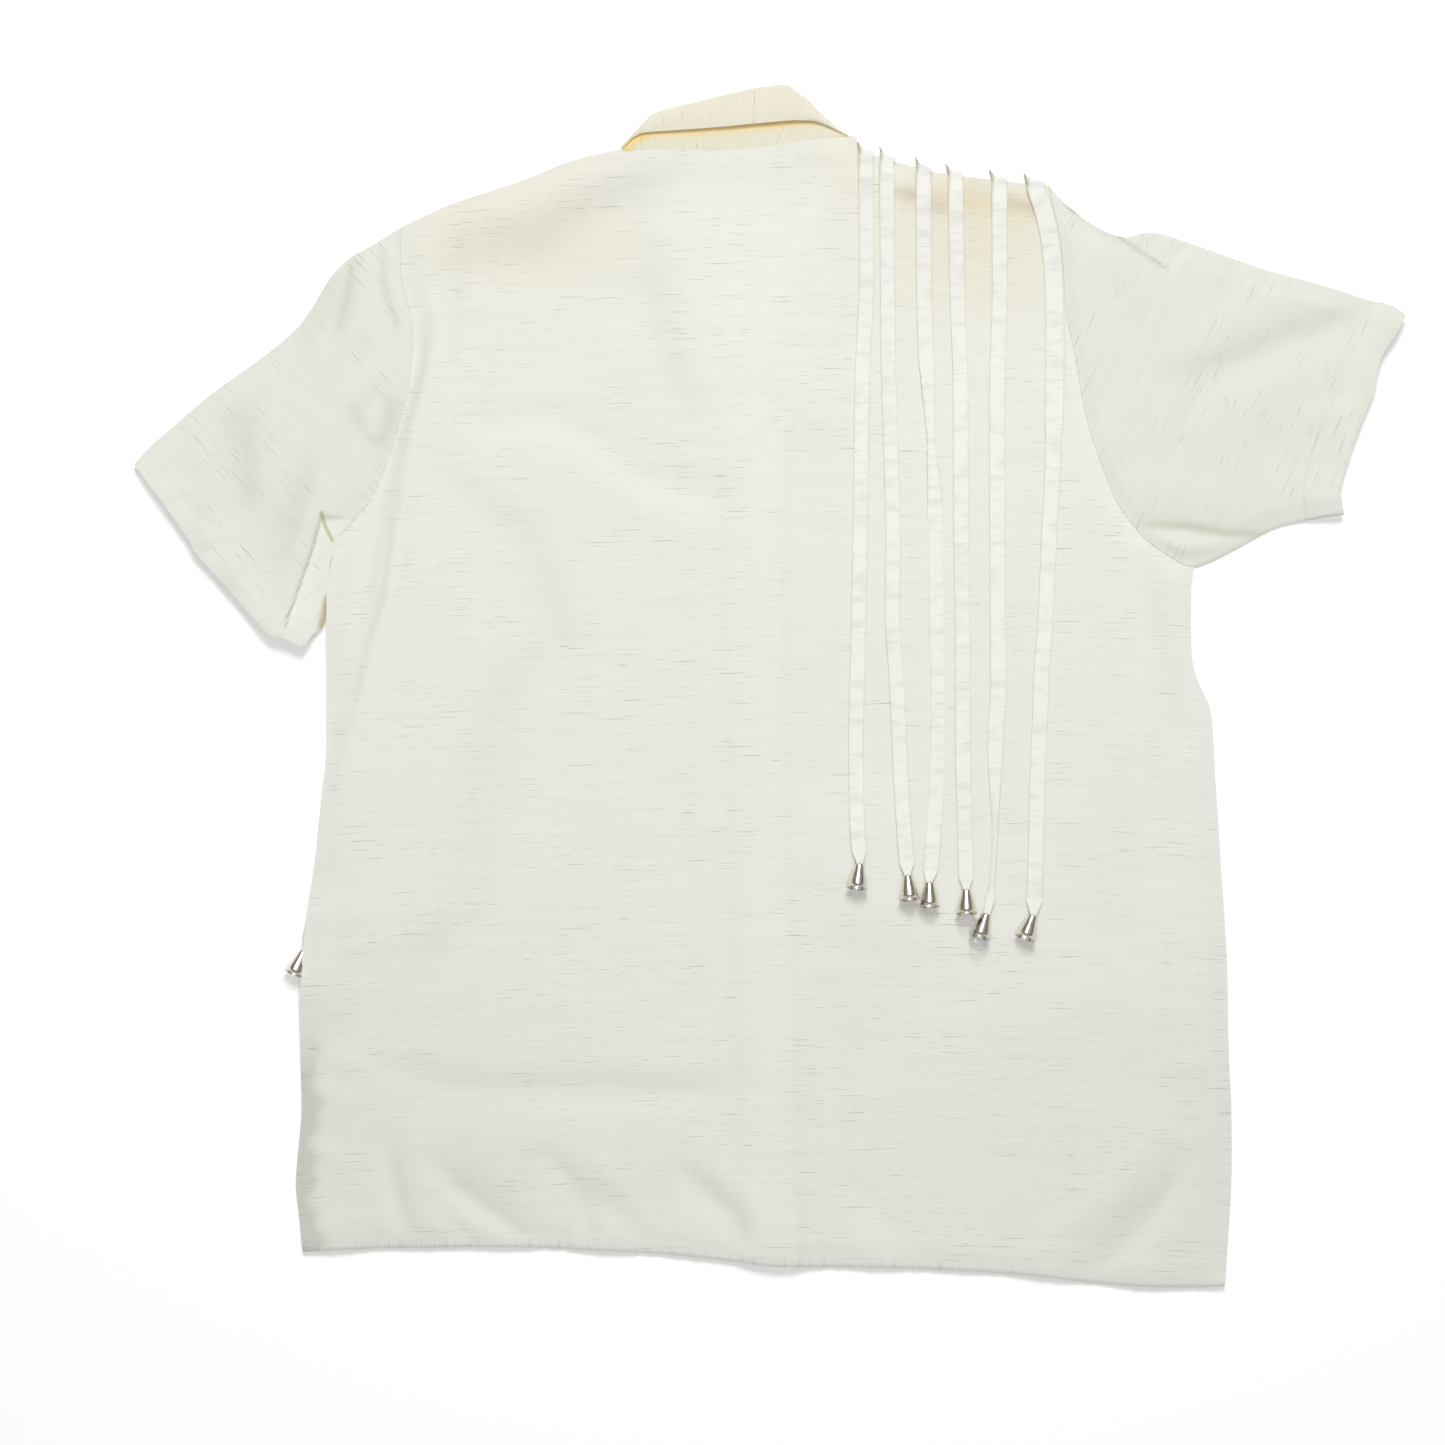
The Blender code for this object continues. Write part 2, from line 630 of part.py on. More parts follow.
def make_body(finish):
    """Both fronts and the back over them, all from the same points, moved up layer by layer."""
    plan = body_plan()
    columns = len(plan[0])
    ranges, moved = front_ranges(plan)
    middle = LEFT_SHOULDER_STEPS + LEFT_NECK_STEPS
    under_left = tree_of("strap_7", "leaf_left", *[f"button_{n + 1}" for n in range(len(BUTTON_HEIGHTS))])
    under_right = tree_of("leaf_right")
    rise = {"front_left": {}, "front_right": {}}
    for name, tree in (("front_left", under_left), ("front_right", under_right)):
        for j, row in enumerate(plan):
            for i in range(ranges[name][j][0], ranges[name][j][1] + 1):
                point = moved[name].get((j, i), row[i])
                top = top_of_pile(tree, point.x, point.y, CELL_REACH)
                rise[name][(j, i)] = top + REST_GAP if top > 0 else 0.0
    for (j, i), height in list(rise["front_right"].items()):
        if i <= middle + PLACKET_STEPS + 1:
            near = [rise["front_left"].get((j + up, i + side)) for up in (-1, 0, 1) for side in (-1, 0, 1)]
            under = max([value for value in near if value is not None], default=-LAYER)
            rise["front_right"][(j, i)] = max(height, under + LAYER)
    for name in ("front_left", "front_right"):
        upper = []
        lower = []
        for j, row in enumerate(plan):
            for i, point in enumerate(row):
                place = moved[name].get((j, i), point)
                height = rise[name].get((j, i), 0.0) + bell_lift(place.x, place.y)
                upper.append((*place, height + CLOTH))
                lower.append((*place, height))
        points, faces = close_wall(upper, lower, strip_triangles(ranges[name], columns))
        add_piece(name, points, faces, finish)
    upper = []
    lower = []
    rows = len(plan)
    for j, row in enumerate(plan):
        for i, point in enumerate(row):
            below = 0.0
            for near in range(max(j - 1, 0), min(j + 2, rows)):
                for beside in range(max(i - 1, 0), min(i + 2, columns)):
                    for name in rise:
                        below = max(below, rise[name].get((near, beside), 0.0))
            u = i / (columns - 1)
            v = j / (rows - 1)
            fade = ease(min(u, 1 - u) * LOFT_RISE) * ease(min(v, 1 - v) * LOFT_RISE)
            loft = fade * max(BACK_LOFT + fold_height(BACK_FOLDS, point.x, point.y), 0.0)
            height = below + LAYER + loft + bell_lift(point.x, point.y)
            upper.append((*point, height + CLOTH))
            lower.append((*point, height))
    points, faces = close_wall(upper, lower, grid_triangles(rows, columns))
    add_piece("back", points, faces, finish)


def make_collar(finish):
    """The collar behind the neck: a stand that leaves the seam, a soft fold and the fall over it."""
    back = tree_of("back")
    upper = []
    lower = []
    for row in COLLAR:
        cut = dict(zip(COLLAR_COLUMNS, row))
        seam = Vector((cut["seam_x"], cut["seam_y"]))
        fold = Vector((cut["fold_x"], cut["fold_y"]))
        fall = Vector((cut["fall_x"], cut["fall_y"]))
        seam_top = top_of_pile(back, seam.x, seam.y - 4, 3.0, 1.0)
        foot = seam_top - CLOTH / 2 + 0.1
        radius = cut["loop"] / 2
        out = (fold - seam).normalized()
        bend = fold - out * radius
        path = [
            (seam + out * SEAM_GAP, foot),
            (seam.lerp(bend, 0.5), foot),
            (bend, foot),
            (bend + out * radius * 0.7, foot + radius * 0.3),
            (fold, foot + radius),
            (bend + out * radius * 0.7, foot + radius * 1.7),
            (bend, foot + radius * 2),
            (bend.lerp(fall, 0.5), foot + radius * 2 + 0.4),
            (fall, foot + radius * 2),
        ]
        for number, (place, height) in enumerate(path):
            ahead = path[min(number + 1, len(path) - 1)]
            behind = path[max(number - 1, 0)]
            run = (ahead[0] - behind[0]).dot(out)
            climb = ahead[1] - behind[1]
            size = math.hypot(run, climb)
            shift = out * (-climb / size) * COLLAR_CLOTH / 2
            lift = run / size * COLLAR_CLOTH / 2
            upper.append((place.x + shift.x, place.y + shift.y, height + lift))
            lower.append((place.x - shift.x, place.y - shift.y, height - lift))
    points, faces = close_wall(upper, lower, grid_triangles(len(COLLAR), 9))
    add_piece("collar", points, faces, finish)


def strap_end(name, rest):
    """The last points of a strap: up to its bell's neck and a little way into it."""
    start, axis = bell_axis(name, rest)
    level = Vector((axis.x, axis.y, 0.0)).normalized()
    approach = start - level * 9.0
    approach.z = start.z - 1.2
    return [approach, start - axis * 1.5, start + axis * STRAP_IN_BELL]


def taper_widths(path):
    """The strap's full width, gathered in to the bell's neck over its last stretch."""
    run = lengths_along(path)
    gathered = run[-3]
    widths = []
    for length in run:
        part = ease((length - gathered + STRAP_TAPER * 0.3) / STRAP_TAPER)
        widths.append(STRAP_WIDTH + (STRAP_END_WIDTH - STRAP_WIDTH) * part)
    widths[-2:] = [STRAP_END_WIDTH] * 2
    return widths


def make_strap(name, rest, finish):
    """A cloth strap sewn in at the shoulder, looped over its edge and laid down the back."""
    back = tree_of("back")
    root_x = STRAP_ROOTS[name]
    line = smooth_line(RIGHT_SHOULDER)
    nearest = min(range(1, len(line) - 1), key=lambda number: abs(line[number].x - root_x))
    shoulder = line[nearest]
    seam_way = (line[nearest + 1] - line[nearest - 1]).normalized()
    outwards = Vector((-seam_way.y, seam_way.x))
    slant = math.atan2(seam_way.y, seam_way.x)
    edge_top = top_of_pile(back, root_x, shoulder.y - 6, 5.0, 1.0)
    root = edge_top - CLOTH / 2
    loop = [(SEAM_GAP + 0.4, root), (3.2, root), (STRAP_LOOP - 1.0, root + 0.4), (STRAP_LOOP, root + 1.4)]
    loop += [(STRAP_LOOP - 1.0, root + 2.4), (2.4, root + 2.9)]
    path = [Vector((*(shoulder + outwards * out), height)) for out, height in loop]
    route = [(root_x, shoulder.y - 8)] + STRAP_ROUTES[name]
    length = lengths_along(smooth_line(route))[-1]
    turn = STRAP_TURNS.get(name)
    rolls = [0.0] * len(path)
    slants = [slant] * len(path)
    for point in even_points(route, round(length / STRAP_STEP)):
        roll = 0.0
        if turn:
            roll = turn[2] * ease((turn[0] - point.y) / (turn[0] - turn[1]))
        stand = STRAP_WIDTH / 2 * abs(math.sin(math.radians(roll))) * 1.05
        height = top_of_pile(back, point.x, point.y, STRAP_STEP * 1.1) + SEAM_GAP + CLOTH / 2 + stand
        path.append(Vector((point.x, point.y, height)))
        rolls.append(roll)
        slants.append(0.0)
    end = strap_end(name[-1], rest)
    path += end
    rolls += [round(rolls[-1] / 180) * 180] * len(end)
    slants += [0.0] * len(end)
    upper, lower = ribbon(path, taper_widths(path), rolls, slants, CLOTH)
    points, faces = close_wall(upper, lower, grid_triangles(len(path), 2))
    add_piece(name, points, faces, finish)


def make_under_strap(finish):
    """The seventh strap, under the left front, from the left shoulder to its bell."""
    path = [Vector((*point, CLOTH / 2)) for point in even_points(UNDER_STRAP_ROUTE, 20)]
    end = strap_end("7", 0.0)
    path += end
    level = [0.0] * len(path)
    upper, lower = ribbon(path, taper_widths(path), level, level, CLOTH)
    points, faces = close_wall(upper, lower, grid_triangles(len(path), 2))
    add_piece("strap_7", points, faces, finish)


def bell_rest(name):
    """The height at which a bell lies on the back, clear of all that is under it."""
    back = tree_of("back")
    bell, top, heading = bell_frame(name)
    tops = []
    for distance in (2.0, 10.0, 18.0, 24.0):
        place = top + heading * distance
        tops.append(top_of_pile(back, place.x, place.y, 7.0, 2.0))
    return max(tops) + SEAM_GAP


def make_shirt():
    for old in list(bpy.data.objects):
        bpy.data.objects.remove(old)
    cloth = material("ivory slub cloth", IVORY, 0.92)
    tape = material("ivory strap cloth", PALE_IVORY, 0.88)
    metal = material("silver bell metal", SILVER, 0.28, metallic=1.0)
    crystal = material("clear drop", CLEAR, 0.05, transmission=0.9)
    pearl = material("pearl button", PEARL, 0.3)
    for number, y in enumerate(BUTTON_HEIGHTS, 1):
        make_button(number, y, pearl)
    make_leaf("leaf_left", LEAF_LEFT, cloth)
    make_leaf("leaf_right", LEAF_RIGHT, cloth)
    make_under_strap(tape)
    make_body(cloth)
    make_sleeve(
        "sleeve_left", LEFT_ARMHOLE, LEFT_SLEEVE_TOP, LEFT_SLEEVE_UNDER, LEFT_CUFF,
        1, 2, LEFT_SLEEVE_FOLDS, cloth,
    )
    make_sleeve(
        "sleeve_right", RIGHT_ARMHOLE, RIGHT_SLEEVE_TOP, RIGHT_SLEEVE_UNDER, RIGHT_CUFF,
        -1, 0, RIGHT_SLEEVE_FOLDS, cloth,
    )
    make_collar(cloth)
    for name in BELLS:
        rest = 0.0 if name == "7" else bell_rest(name)
        make_bell(name, rest, metal)
        make_drop(name, rest, crystal)
        if name != "7":
            make_strap("strap_" + name, rest, tape)


make_shirt()
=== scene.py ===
# %% [markdown]
# # A short-sleeve shirt, laid flat on its front
#
# The shirt is ivory slub cloth, thin enough for the layers below to show faintly through it.
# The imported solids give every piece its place. This lesson dresses them: each cloth panel
# becomes a thin shell with its folds, and the small metal bells are shaped like real ones.

# %% Load the frame and keep its box
import math

import bmesh
import bpy
import numpy as np
from mathutils import Matrix, Vector


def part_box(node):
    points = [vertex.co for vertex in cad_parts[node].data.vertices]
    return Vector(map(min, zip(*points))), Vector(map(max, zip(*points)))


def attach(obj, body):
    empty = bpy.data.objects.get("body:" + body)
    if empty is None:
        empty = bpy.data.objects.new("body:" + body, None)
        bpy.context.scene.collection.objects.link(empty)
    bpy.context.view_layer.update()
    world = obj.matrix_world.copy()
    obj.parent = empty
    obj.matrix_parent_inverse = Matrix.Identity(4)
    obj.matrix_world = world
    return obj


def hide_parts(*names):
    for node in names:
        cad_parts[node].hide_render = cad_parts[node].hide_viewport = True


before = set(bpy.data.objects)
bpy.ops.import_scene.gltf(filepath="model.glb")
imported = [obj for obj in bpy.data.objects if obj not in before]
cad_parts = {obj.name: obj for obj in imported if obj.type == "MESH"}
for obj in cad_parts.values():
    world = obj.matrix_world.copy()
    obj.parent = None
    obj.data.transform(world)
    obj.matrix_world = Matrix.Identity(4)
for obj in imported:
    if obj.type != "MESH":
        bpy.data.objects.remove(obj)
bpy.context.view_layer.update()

bpy.ops.object.select_all(action="DESELECT")
MM = 0.001
print("solids loaded:", len(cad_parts))

# %% [markdown]
# ## Helpers for materials
#
# A material is a tree of nodes. A few short functions make the nodes and join them, so that
# each material further down reads as a list of its steps.

# %% Node helpers


def feed(tree, node, inputs):
    """Gives each named input a link from a socket, or a value of its own."""
    for name, value in inputs.items():
        if isinstance(value, bpy.types.NodeSocket):
            tree.links.new(value, node.inputs[name])
        else:
            node.inputs[name].default_value = value


def add_node(tree, kind, inputs=None, **settings):
    """A node with its settings and its inputs."""
    node = tree.nodes.new(kind)
    for name, value in settings.items():
        setattr(node, name, value)
    feed(tree, node, inputs or {})
    return node


def maths(tree, operation, first, second=0.0, third=0.0):
    """One step of arithmetic."""
    return add_node(tree, "ShaderNodeMath", {0: first, 1: second, 2: third}, operation=operation).outputs[0]


def separate(tree, vector):
    """The first two directions of a map."""
    return add_node(tree, "ShaderNodeSeparateXYZ", {0: vector}).outputs[:2]


def stretched(tree, place, along, across):
    """A map scaled along the weft and across it, which sets a pattern's size each way."""
    factors = (along, across, 1.0)
    return add_node(tree, "ShaderNodeVectorMath", {0: place, 1: factors}, operation="MULTIPLY").outputs[0]


def noise(tree, place, scale=1.0, detail=3.0, space="2D"):
    """Soft noise, over a flat map or through a piece's own space."""
    inputs = {"Vector": place, "Scale": scale, "Detail": detail}
    return add_node(tree, "ShaderNodeTexNoise", inputs, noise_dimensions=space).outputs["Fac"]


def noise_along(tree, way, scale=60.0):
    """Noise along one direction, in lumps of one or two centimetres."""
    inputs = {"W": maths(tree, "MULTIPLY", way, scale), "Scale": 1.0, "Detail": 1.0}
    return add_node(tree, "ShaderNodeTexNoise", inputs, noise_dimensions="1D").outputs["Fac"]


def ramp(tree, value, start, end, first, last, kind="LINEAR"):
    """Goes from first to last while the value goes from start to end."""
    inputs = {"Value": value, "From Min": start, "From Max": end, "To Min": first, "To Max": last}
    return add_node(tree, "ShaderNodeMapRange", inputs, interpolation_type=kind).outputs[0]


def mix(tree, share, first, second, blend="MIX"):
    """Two colours mixed by a share, or multiplied."""
    inputs = {0: share, 6: first, 7: second}
    return add_node(tree, "ShaderNodeMix", inputs, data_type="RGBA", blend_type=blend).outputs[2]


def scaled(tree, colour, share):
    """A colour made lighter or darker."""
    return add_node(tree, "ShaderNodeVectorMath", {0: colour, "Scale": share}, operation="SCALE").outputs[0]


def new_material(name):
    """A material, its node tree and its shader."""
    material = bpy.data.materials.new(name)
    material.use_nodes = True
    return material, material.node_tree, material.node_tree.nodes["Principled BSDF"]


def new_group(name, sizes, output):
    """An empty node group that takes a map and some sizes, and puts out one value."""
    group = bpy.data.node_groups.new(name, "ShaderNodeTree")
    group.interface.new_socket("Map", in_out="INPUT", socket_type="NodeSocketVector")
    for label, size in sizes.items():
        socket = group.interface.new_socket(label, in_out="INPUT", socket_type="NodeSocketFloat")
        socket.default_value = size
    group.interface.new_socket(output, in_out="OUTPUT", socket_type="NodeSocketFloat")
    return group, group.nodes.new("NodeGroupInput").outputs, group.nodes.new("NodeGroupOutput")


# %% [markdown]
# ## The view
#
# The photograph looks straight down on the shirt. A long lens keeps the edges from leaning,
# and its height above the cloth follows from the width of the view at the cloth.

# %% Camera
VIEW_WIDTH = 1011.5 * MM
VIEW_CENTRE = (-34.3 * MM, -25.6 * MM)
CLOTH_LEVEL = 3 * MM
LENS = 90.0

camera_data = bpy.data.cameras.new("camera")
camera_data.lens = LENS
camera = bpy.data.objects.new("camera", camera_data)
bpy.context.scene.collection.objects.link(camera)
camera_height = VIEW_WIDTH * LENS / camera_data.sensor_width
camera.location = (*VIEW_CENTRE, CLOTH_LEVEL + camera_height)
bpy.context.scene.camera = camera
print("camera height in metres:", round(camera_height, 3))

# %% [markdown]
# ## Light
#
# Soft daylight comes from beyond the collar, so shadows fall short and towards the hem. The
# sky is bright overhead and darker near the horizon, which gives the metal bells their dark
# flanks and their bright line down the middle; a painted reflection makes the flanks darker still.

# %% Sky and soft lamps
SKY_OVERHEAD = 0.55
SKY_HORIZON = 0.10
HORIZON_END = 0.05
OVERHEAD_START = 0.85

scene = bpy.context.scene
scene.view_settings.view_transform = "Standard"
scene.view_settings.look = "None"
scene.world = bpy.data.worlds.new("studio")
scene.world.use_nodes = True
sky = scene.world.node_tree
sky.nodes.clear()
sky_way = add_node(sky, "ShaderNodeTexCoord").outputs["Generated"]
sky_height = add_node(sky, "ShaderNodeSeparateXYZ", {0: sky_way}).outputs["Z"]
strength = ramp(sky, sky_height, HORIZON_END, OVERHEAD_START, SKY_HORIZON, SKY_OVERHEAD)
sky_light = add_node(sky, "ShaderNodeBackground", {"Strength": strength})
add_node(sky, "ShaderNodeOutputWorld", {"Surface": sky_light.outputs["Background"]})


def add_lamp(name, place, aim, size, power):
    """A square soft lamp that points at a place on the shirt."""
    lamp = bpy.data.lights.new(name, "AREA")
    lamp.shape = "SQUARE"
    lamp.size = size
    lamp.energy = power
    holder = bpy.data.objects.new(name, lamp)
    holder.location = place
    holder.rotation_euler = (Vector(aim) - Vector(place)).to_track_quat("-Z", "Y").to_euler()
    scene.collection.objects.link(holder)


add_lamp("window", (0.10, 2.1, 2.6), (0.0, 0.0, 0.0), size=1.15, power=61.5)
add_lamp("overhead", (0.0, -0.7, 3.2), (0.0, -0.1, 0.0), size=1.4, power=31.0)
print("lamps:", [lamp.name for lamp in bpy.data.lights])

# %% Floor
FLOOR_SIZE = 8.0
FLOOR_COLOUR = (0.985, 0.985, 0.98, 1.0)
FLOOR_GLOW = 0.07

bpy.ops.mesh.primitive_plane_add(size=FLOOR_SIZE, location=(0, 0, 0))
floor = bpy.context.active_object
floor.name = "floor"
floor_finish, tree, shader = new_material("pale floor")
feed(tree, shader, {
    "Base Color": FLOOR_COLOUR, "Roughness": 0.9, "Specular IOR Level": 0.1,
    "Emission Color": FLOOR_COLOUR, "Emission Strength": FLOOR_GLOW,
})
floor.data.materials.append(floor_finish)
bpy.ops.object.select_all(action="DESELECT")
print("floor:", FLOOR_SIZE, "m across")

# %% [markdown]
# ## The cloth as a material
#
# Slub yarn is spun unevenly: most of it is smooth, and now and then a thread swells and shows
# as a short darker dash. The pattern is built once, as a node group on the piece's own map,
# whose first direction is the thread's. A cell pattern gives each dash a place and a length.

# %% Slub threads as a node group
THREAD_SWAY = 0.0010
DASH_REACH = (0.32, 0.10)
DASH_DEPTH = (0.7, 0.3)

group, given, result = new_group(
    "slub threads", {"Dash Length": 0.040, "Row Height": 0.008, "Thread": 0.00035, "Share": 0.5}, "Mask"
)
weft_way, cross_way = separate(group, given["Map"])
swayed = maths(group, "MULTIPLY_ADD", noise_along(group, weft_way), THREAD_SWAY, cross_way)
cell_place = add_node(
    group, "ShaderNodeCombineXYZ",
    {"X": maths(group, "DIVIDE", weft_way, given["Dash Length"]),
     "Y": maths(group, "DIVIDE", swayed, given["Row Height"])},
).outputs[0]
cells = add_node(
    group, "ShaderNodeTexVoronoi", {"Vector": cell_place, "Scale": 1.0}, voronoi_dimensions="2D", feature="F1"
).outputs
away = add_node(group, "ShaderNodeVectorMath", {0: cell_place, 1: cells["Position"]}, operation="SUBTRACT")
gap_along, gap_across = separate(group, away.outputs[0])
chance = add_node(group, "ShaderNodeSeparateColor", {0: cells["Color"]}).outputs
side_gap = maths(group, "ABSOLUTE", maths(group, "MULTIPLY", gap_across, given["Row Height"]))
reach = maths(group, "MULTIPLY_ADD", chance["Green"], *DASH_REACH)
end_gap = maths(group, "DIVIDE", maths(group, "ABSOLUTE", gap_along), reach)
thin = ramp(group, side_gap, 0.0, given["Thread"], 1.0, 0.0, "SMOOTHSTEP")
taper = ramp(group, end_gap, 0.05, 1.0, 1.0, 0.0, "SMOOTHSTEP")
shown = maths(group, "LESS_THAN", chance["Red"], given["Share"])
depth = maths(group, "MULTIPLY_ADD", chance["Blue"], *DASH_DEPTH)
mask = maths(group, "MULTIPLY", thin, taper)
mask = maths(group, "MULTIPLY", maths(group, "MULTIPLY", mask, shown), depth)
group.links.new(mask, result.inputs["Mask"])
slub_group = group
print("nodes for the slubs:", len(slub_group.nodes))

# %% [markdown]
# Between the slubs the yarn still varies a little. A second group makes the fine ground of
# the cloth from three noises: faint streaks along the warp, more along the weft, and wider
# bars where the weft changes from one bobbin to the next.

# %% Plain ground of the cloth as a node group
# Each row is the noise's share, its scale along the weft and across it, and its detail.
GROUND_NOISES = ((0.12, 800.0, 30.0, 2.0), (0.48, 22.0, 900.0, 3.0), (0.40, 9.0, 120.0, 3.0))

group, given, result = new_group("cloth ground", {}, "Streaks")
blend = 0.0
for share, weft_scale, cross_scale, detail in GROUND_NOISES:
    streaks = noise(group, stretched(group, given["Map"], weft_scale, cross_scale), detail=detail)
    blend = maths(group, "MULTIPLY_ADD", streaks, share, blend)
group.links.new(blend, result.inputs["Streaks"])
ground_group = group
print("nodes for the ground:", len(ground_group.nodes))

# %% [markdown]
# The cloth's material joins both groups. Its base colour is the ivory of the yarn, multiplied
# by a tone that each piece carries on its points: brighter where one layer lies alone, deeper
# at seams and hems, darker with painted shade in creases and valleys and a painted shadow at the
# hem's edge, and warmer where light bounces between two layers, which is painted light too.

# %% Cloth material
IVORY = (0.785, 0.785, 0.725, 1.0)
STRAP_IVORY = (0.85, 0.85, 0.795, 1.0)
SLUB_COLOUR = (0.10, 0.085, 0.065, 1.0)
# Each row is a slub's cell length, row height and half thickness in metres, and its share of cells.
SLUB_SIZES = (
    (0.038, 0.0052, 0.00022, 0.62), (0.022, 0.0036, 0.00018, 0.58), (0.130, 0.0032, 0.00026, 0.62),
)
SHORT_SLUBS = 0.8
LONG_SLUBS = 0.16
TICK_TURN = 760.0
TICK_SWAY = 16.0


def ticks_along(tree, way):
    """Thin uneven lines across a hem, where its stitches draw the cloth together."""
    lumps = noise_along(tree, way)
    turn = maths(tree, "MULTIPLY_ADD", way, TICK_TURN, maths(tree, "MULTIPLY", lumps, TICK_SWAY))
    line = ramp(tree, maths(tree, "SINE", turn), 0.82, 1.0, 0.0, 1.0, "SMOOTHSTEP")
    return maths(tree, "MULTIPLY", line, lumps)


def slub_mask(tree, grain, slub_depth):
    """Where slubs lie: short and middling ones in clusters, and long faint ones everywhere."""
    middling, short, long = [
        add_node(
            tree, "ShaderNodeGroup",
            {"Map": grain, "Dash Length": length, "Row Height": row, "Thread": thread, "Share": share},
            node_tree=slub_group,
        ).outputs["Mask"]
        for length, row, thread, share in SLUB_SIZES
    ]
    cluster = ramp(tree, noise(tree, stretched(tree, grain, 11.0, 34.0), detail=2.0), 0.44, 0.60, 0.12, 1.0)
    mask = maths(tree, "MULTIPLY_ADD", short, SHORT_SLUBS, middling)
    mask = maths(tree, "MULTIPLY", mask, cluster)
    mask = maths(tree, "MULTIPLY_ADD", long, LONG_SLUBS, mask)
    mask = maths(tree, "MULTIPLY", mask, slub_depth)
    return add_node(tree, "ShaderNodeClamp", {0: mask}).outputs[0]


def cloth_material(name, colour, slub_depth, streak_depth=0.032, wrinkle=0.0):
    """Slub cloth in a given colour."""
    finish, tree, shader = new_material(name)
    grain = add_node(tree, "ShaderNodeUVMap", uv_map="grain").outputs[0]
    tone = add_node(tree, "ShaderNodeAttribute", attribute_name="tone").outputs["Color"]
    drawn = add_node(tree, "ShaderNodeAttribute", attribute_name="pucker").outputs["Color"]
    ground = add_node(tree, "ShaderNodeGroup", {"Map": grain}, node_tree=ground_group).outputs["Streaks"]
    mask = slub_mask(tree, grain, slub_depth)
    streak = ramp(tree, ground, 0.3, 0.7, 1.0 - streak_depth, 1.0 + streak_depth * 0.6)
    base = scaled(tree, mix(tree, 1.0, tone, colour, "MULTIPLY"), streak)
    base = mix(tree, maths(tree, "MULTIPLY", mask, 0.95), base, SLUB_COLOUR)
    pulls = add_node(tree, "ShaderNodeSeparateColor", {0: drawn}).outputs
    ticks = 0.0
    for way, pull in zip(separate(tree, grain), pulls):
        ticks = maths(tree, "MULTIPLY_ADD", ticks_along(tree, way), pull, ticks)
    wrinkles = noise(tree, stretched(tree, grain, 45.0, 130.0))
    # Painted shade: the hem puckers' ticks and the wrinkles darken the base colour in their creases.
    darker = maths(
        tree, "MULTIPLY", maths(tree, "MULTIPLY_ADD", ticks, -0.2, 1.0),
        ramp(tree, wrinkles, 0.48, 0.70, 1.0, 1.0 - wrinkle),
    )
    height = maths(tree, "MULTIPLY_ADD", ground, 0.45, maths(tree, "MULTIPLY", mask, 0.5))
    height = maths(tree, "MULTIPLY_ADD", ticks, -2.0, height)
    height = maths(tree, "MULTIPLY_ADD", wrinkles, 12.0 * wrinkle, height)
    bump = add_node(tree, "ShaderNodeBump", {"Height": height, "Strength": 0.25, "Distance": 0.0003})
    feed(tree, shader, {
        "Base Color": scaled(tree, base, darker), "Normal": bump.outputs[0], "Roughness": 0.88,
        "Specular IOR Level": 0.25, "Sheen Weight": 0.05, "Sheen Roughness": 0.5,
    })
    return finish


shirt_cloth = cloth_material("shirt cloth", IVORY, 1.0)
strap_cloth = cloth_material("strap cloth", STRAP_IVORY, 0.55, streak_depth=0.016, wrinkle=0.09)
print("cloth materials:", shirt_cloth.name, strap_cloth.name)

# %% [markdown]
# ## Lines and patches
#
# A pattern cutter draws a few points and runs a smooth curve through them. The same curve
# makes every seam here. A panel is then ruled between its four edges, so its net of points
# follows the cut. Outlines are in millimetres from the middle of the shirt.

# %% Curves


def smooth_line(points, per_span=10):
    """A fine line that runs smoothly through the given points."""
    given_points = np.array(points, dtype=float)
    ends = np.vstack([given_points[:1], given_points, given_points[-1:]])
    t = np.linspace(0, 1, per_span, endpoint=False)[:, None]
    line = []
    for before, start, end, after in zip(ends, ends[1:], ends[2:], ends[3:]):
        pull = (end - before) * 0.5
        push = (after - start) * 0.5
        line.append(
            start * (2 * t**3 - 3 * t**2 + 1) + pull * (t**3 - 2 * t**2 + t)
            + end * (3 * t**2 - 2 * t**3) + push * (t**3 - t**2)
        )
    return np.vstack([*line, given_points[-1:]])


def run_of(line):
    """The distance from the line's start at each of its points."""
    steps = np.linalg.norm(np.diff(line, axis=0), axis=1)
    return np.concatenate([[0.0], np.cumsum(steps)])


def cut_line(line, shares):
    """The points that lie at these shares of a line's length."""
    run = run_of(line)
    wanted = np.asarray(shares) * run[-1]
    return np.stack([np.interp(wanted, run, line[:, axis]) for axis in range(line.shape[1])], axis=1)


def even_cut(points, steps):
    """A smooth line through the points, cut into equal steps."""
    return cut_line(smooth_line(points), np.linspace(0, 1, steps + 1))


def x_on(line, y):
    """How far across the shirt a line that runs up it lies, at each height."""
    return np.interp(y, [spot[1] for spot in line], [spot[0] for spot in line])


def joined(*runs):
    """Runs laid end to end, with their shared corners kept once."""
    return np.vstack([runs[0], *[run[1:] for run in runs[1:]]])


def patch(first, last, left, right, late=1):
    """A net of points in plan, between two rows and two sides. The last row's shape comes in late."""
    shares = [run_of(line) / run_of(line)[-1] for line in (first, last, left, right)]
    u = (shares[0] + shares[1])[None, :, None] / 2
    v = ((shares[2] + shares[3])[:, None, None] / 2) ** late
    ruled = first[None] * (1 - v) + last[None] * v + left[:, None] * (1 - u) + right[:, None] * u
    corners = (
        first[0] * (1 - u) * (1 - v) + first[-1] * u * (1 - v) + last[0] * (1 - u) * v + last[-1] * u * v
    )
    return ruled - corners


def ease(value):
    """0 below 0, 1 above 1 and a soft step between."""
    value = np.clip(value, 0.0, 1.0)
    return value * value * (3 - 2 * value)


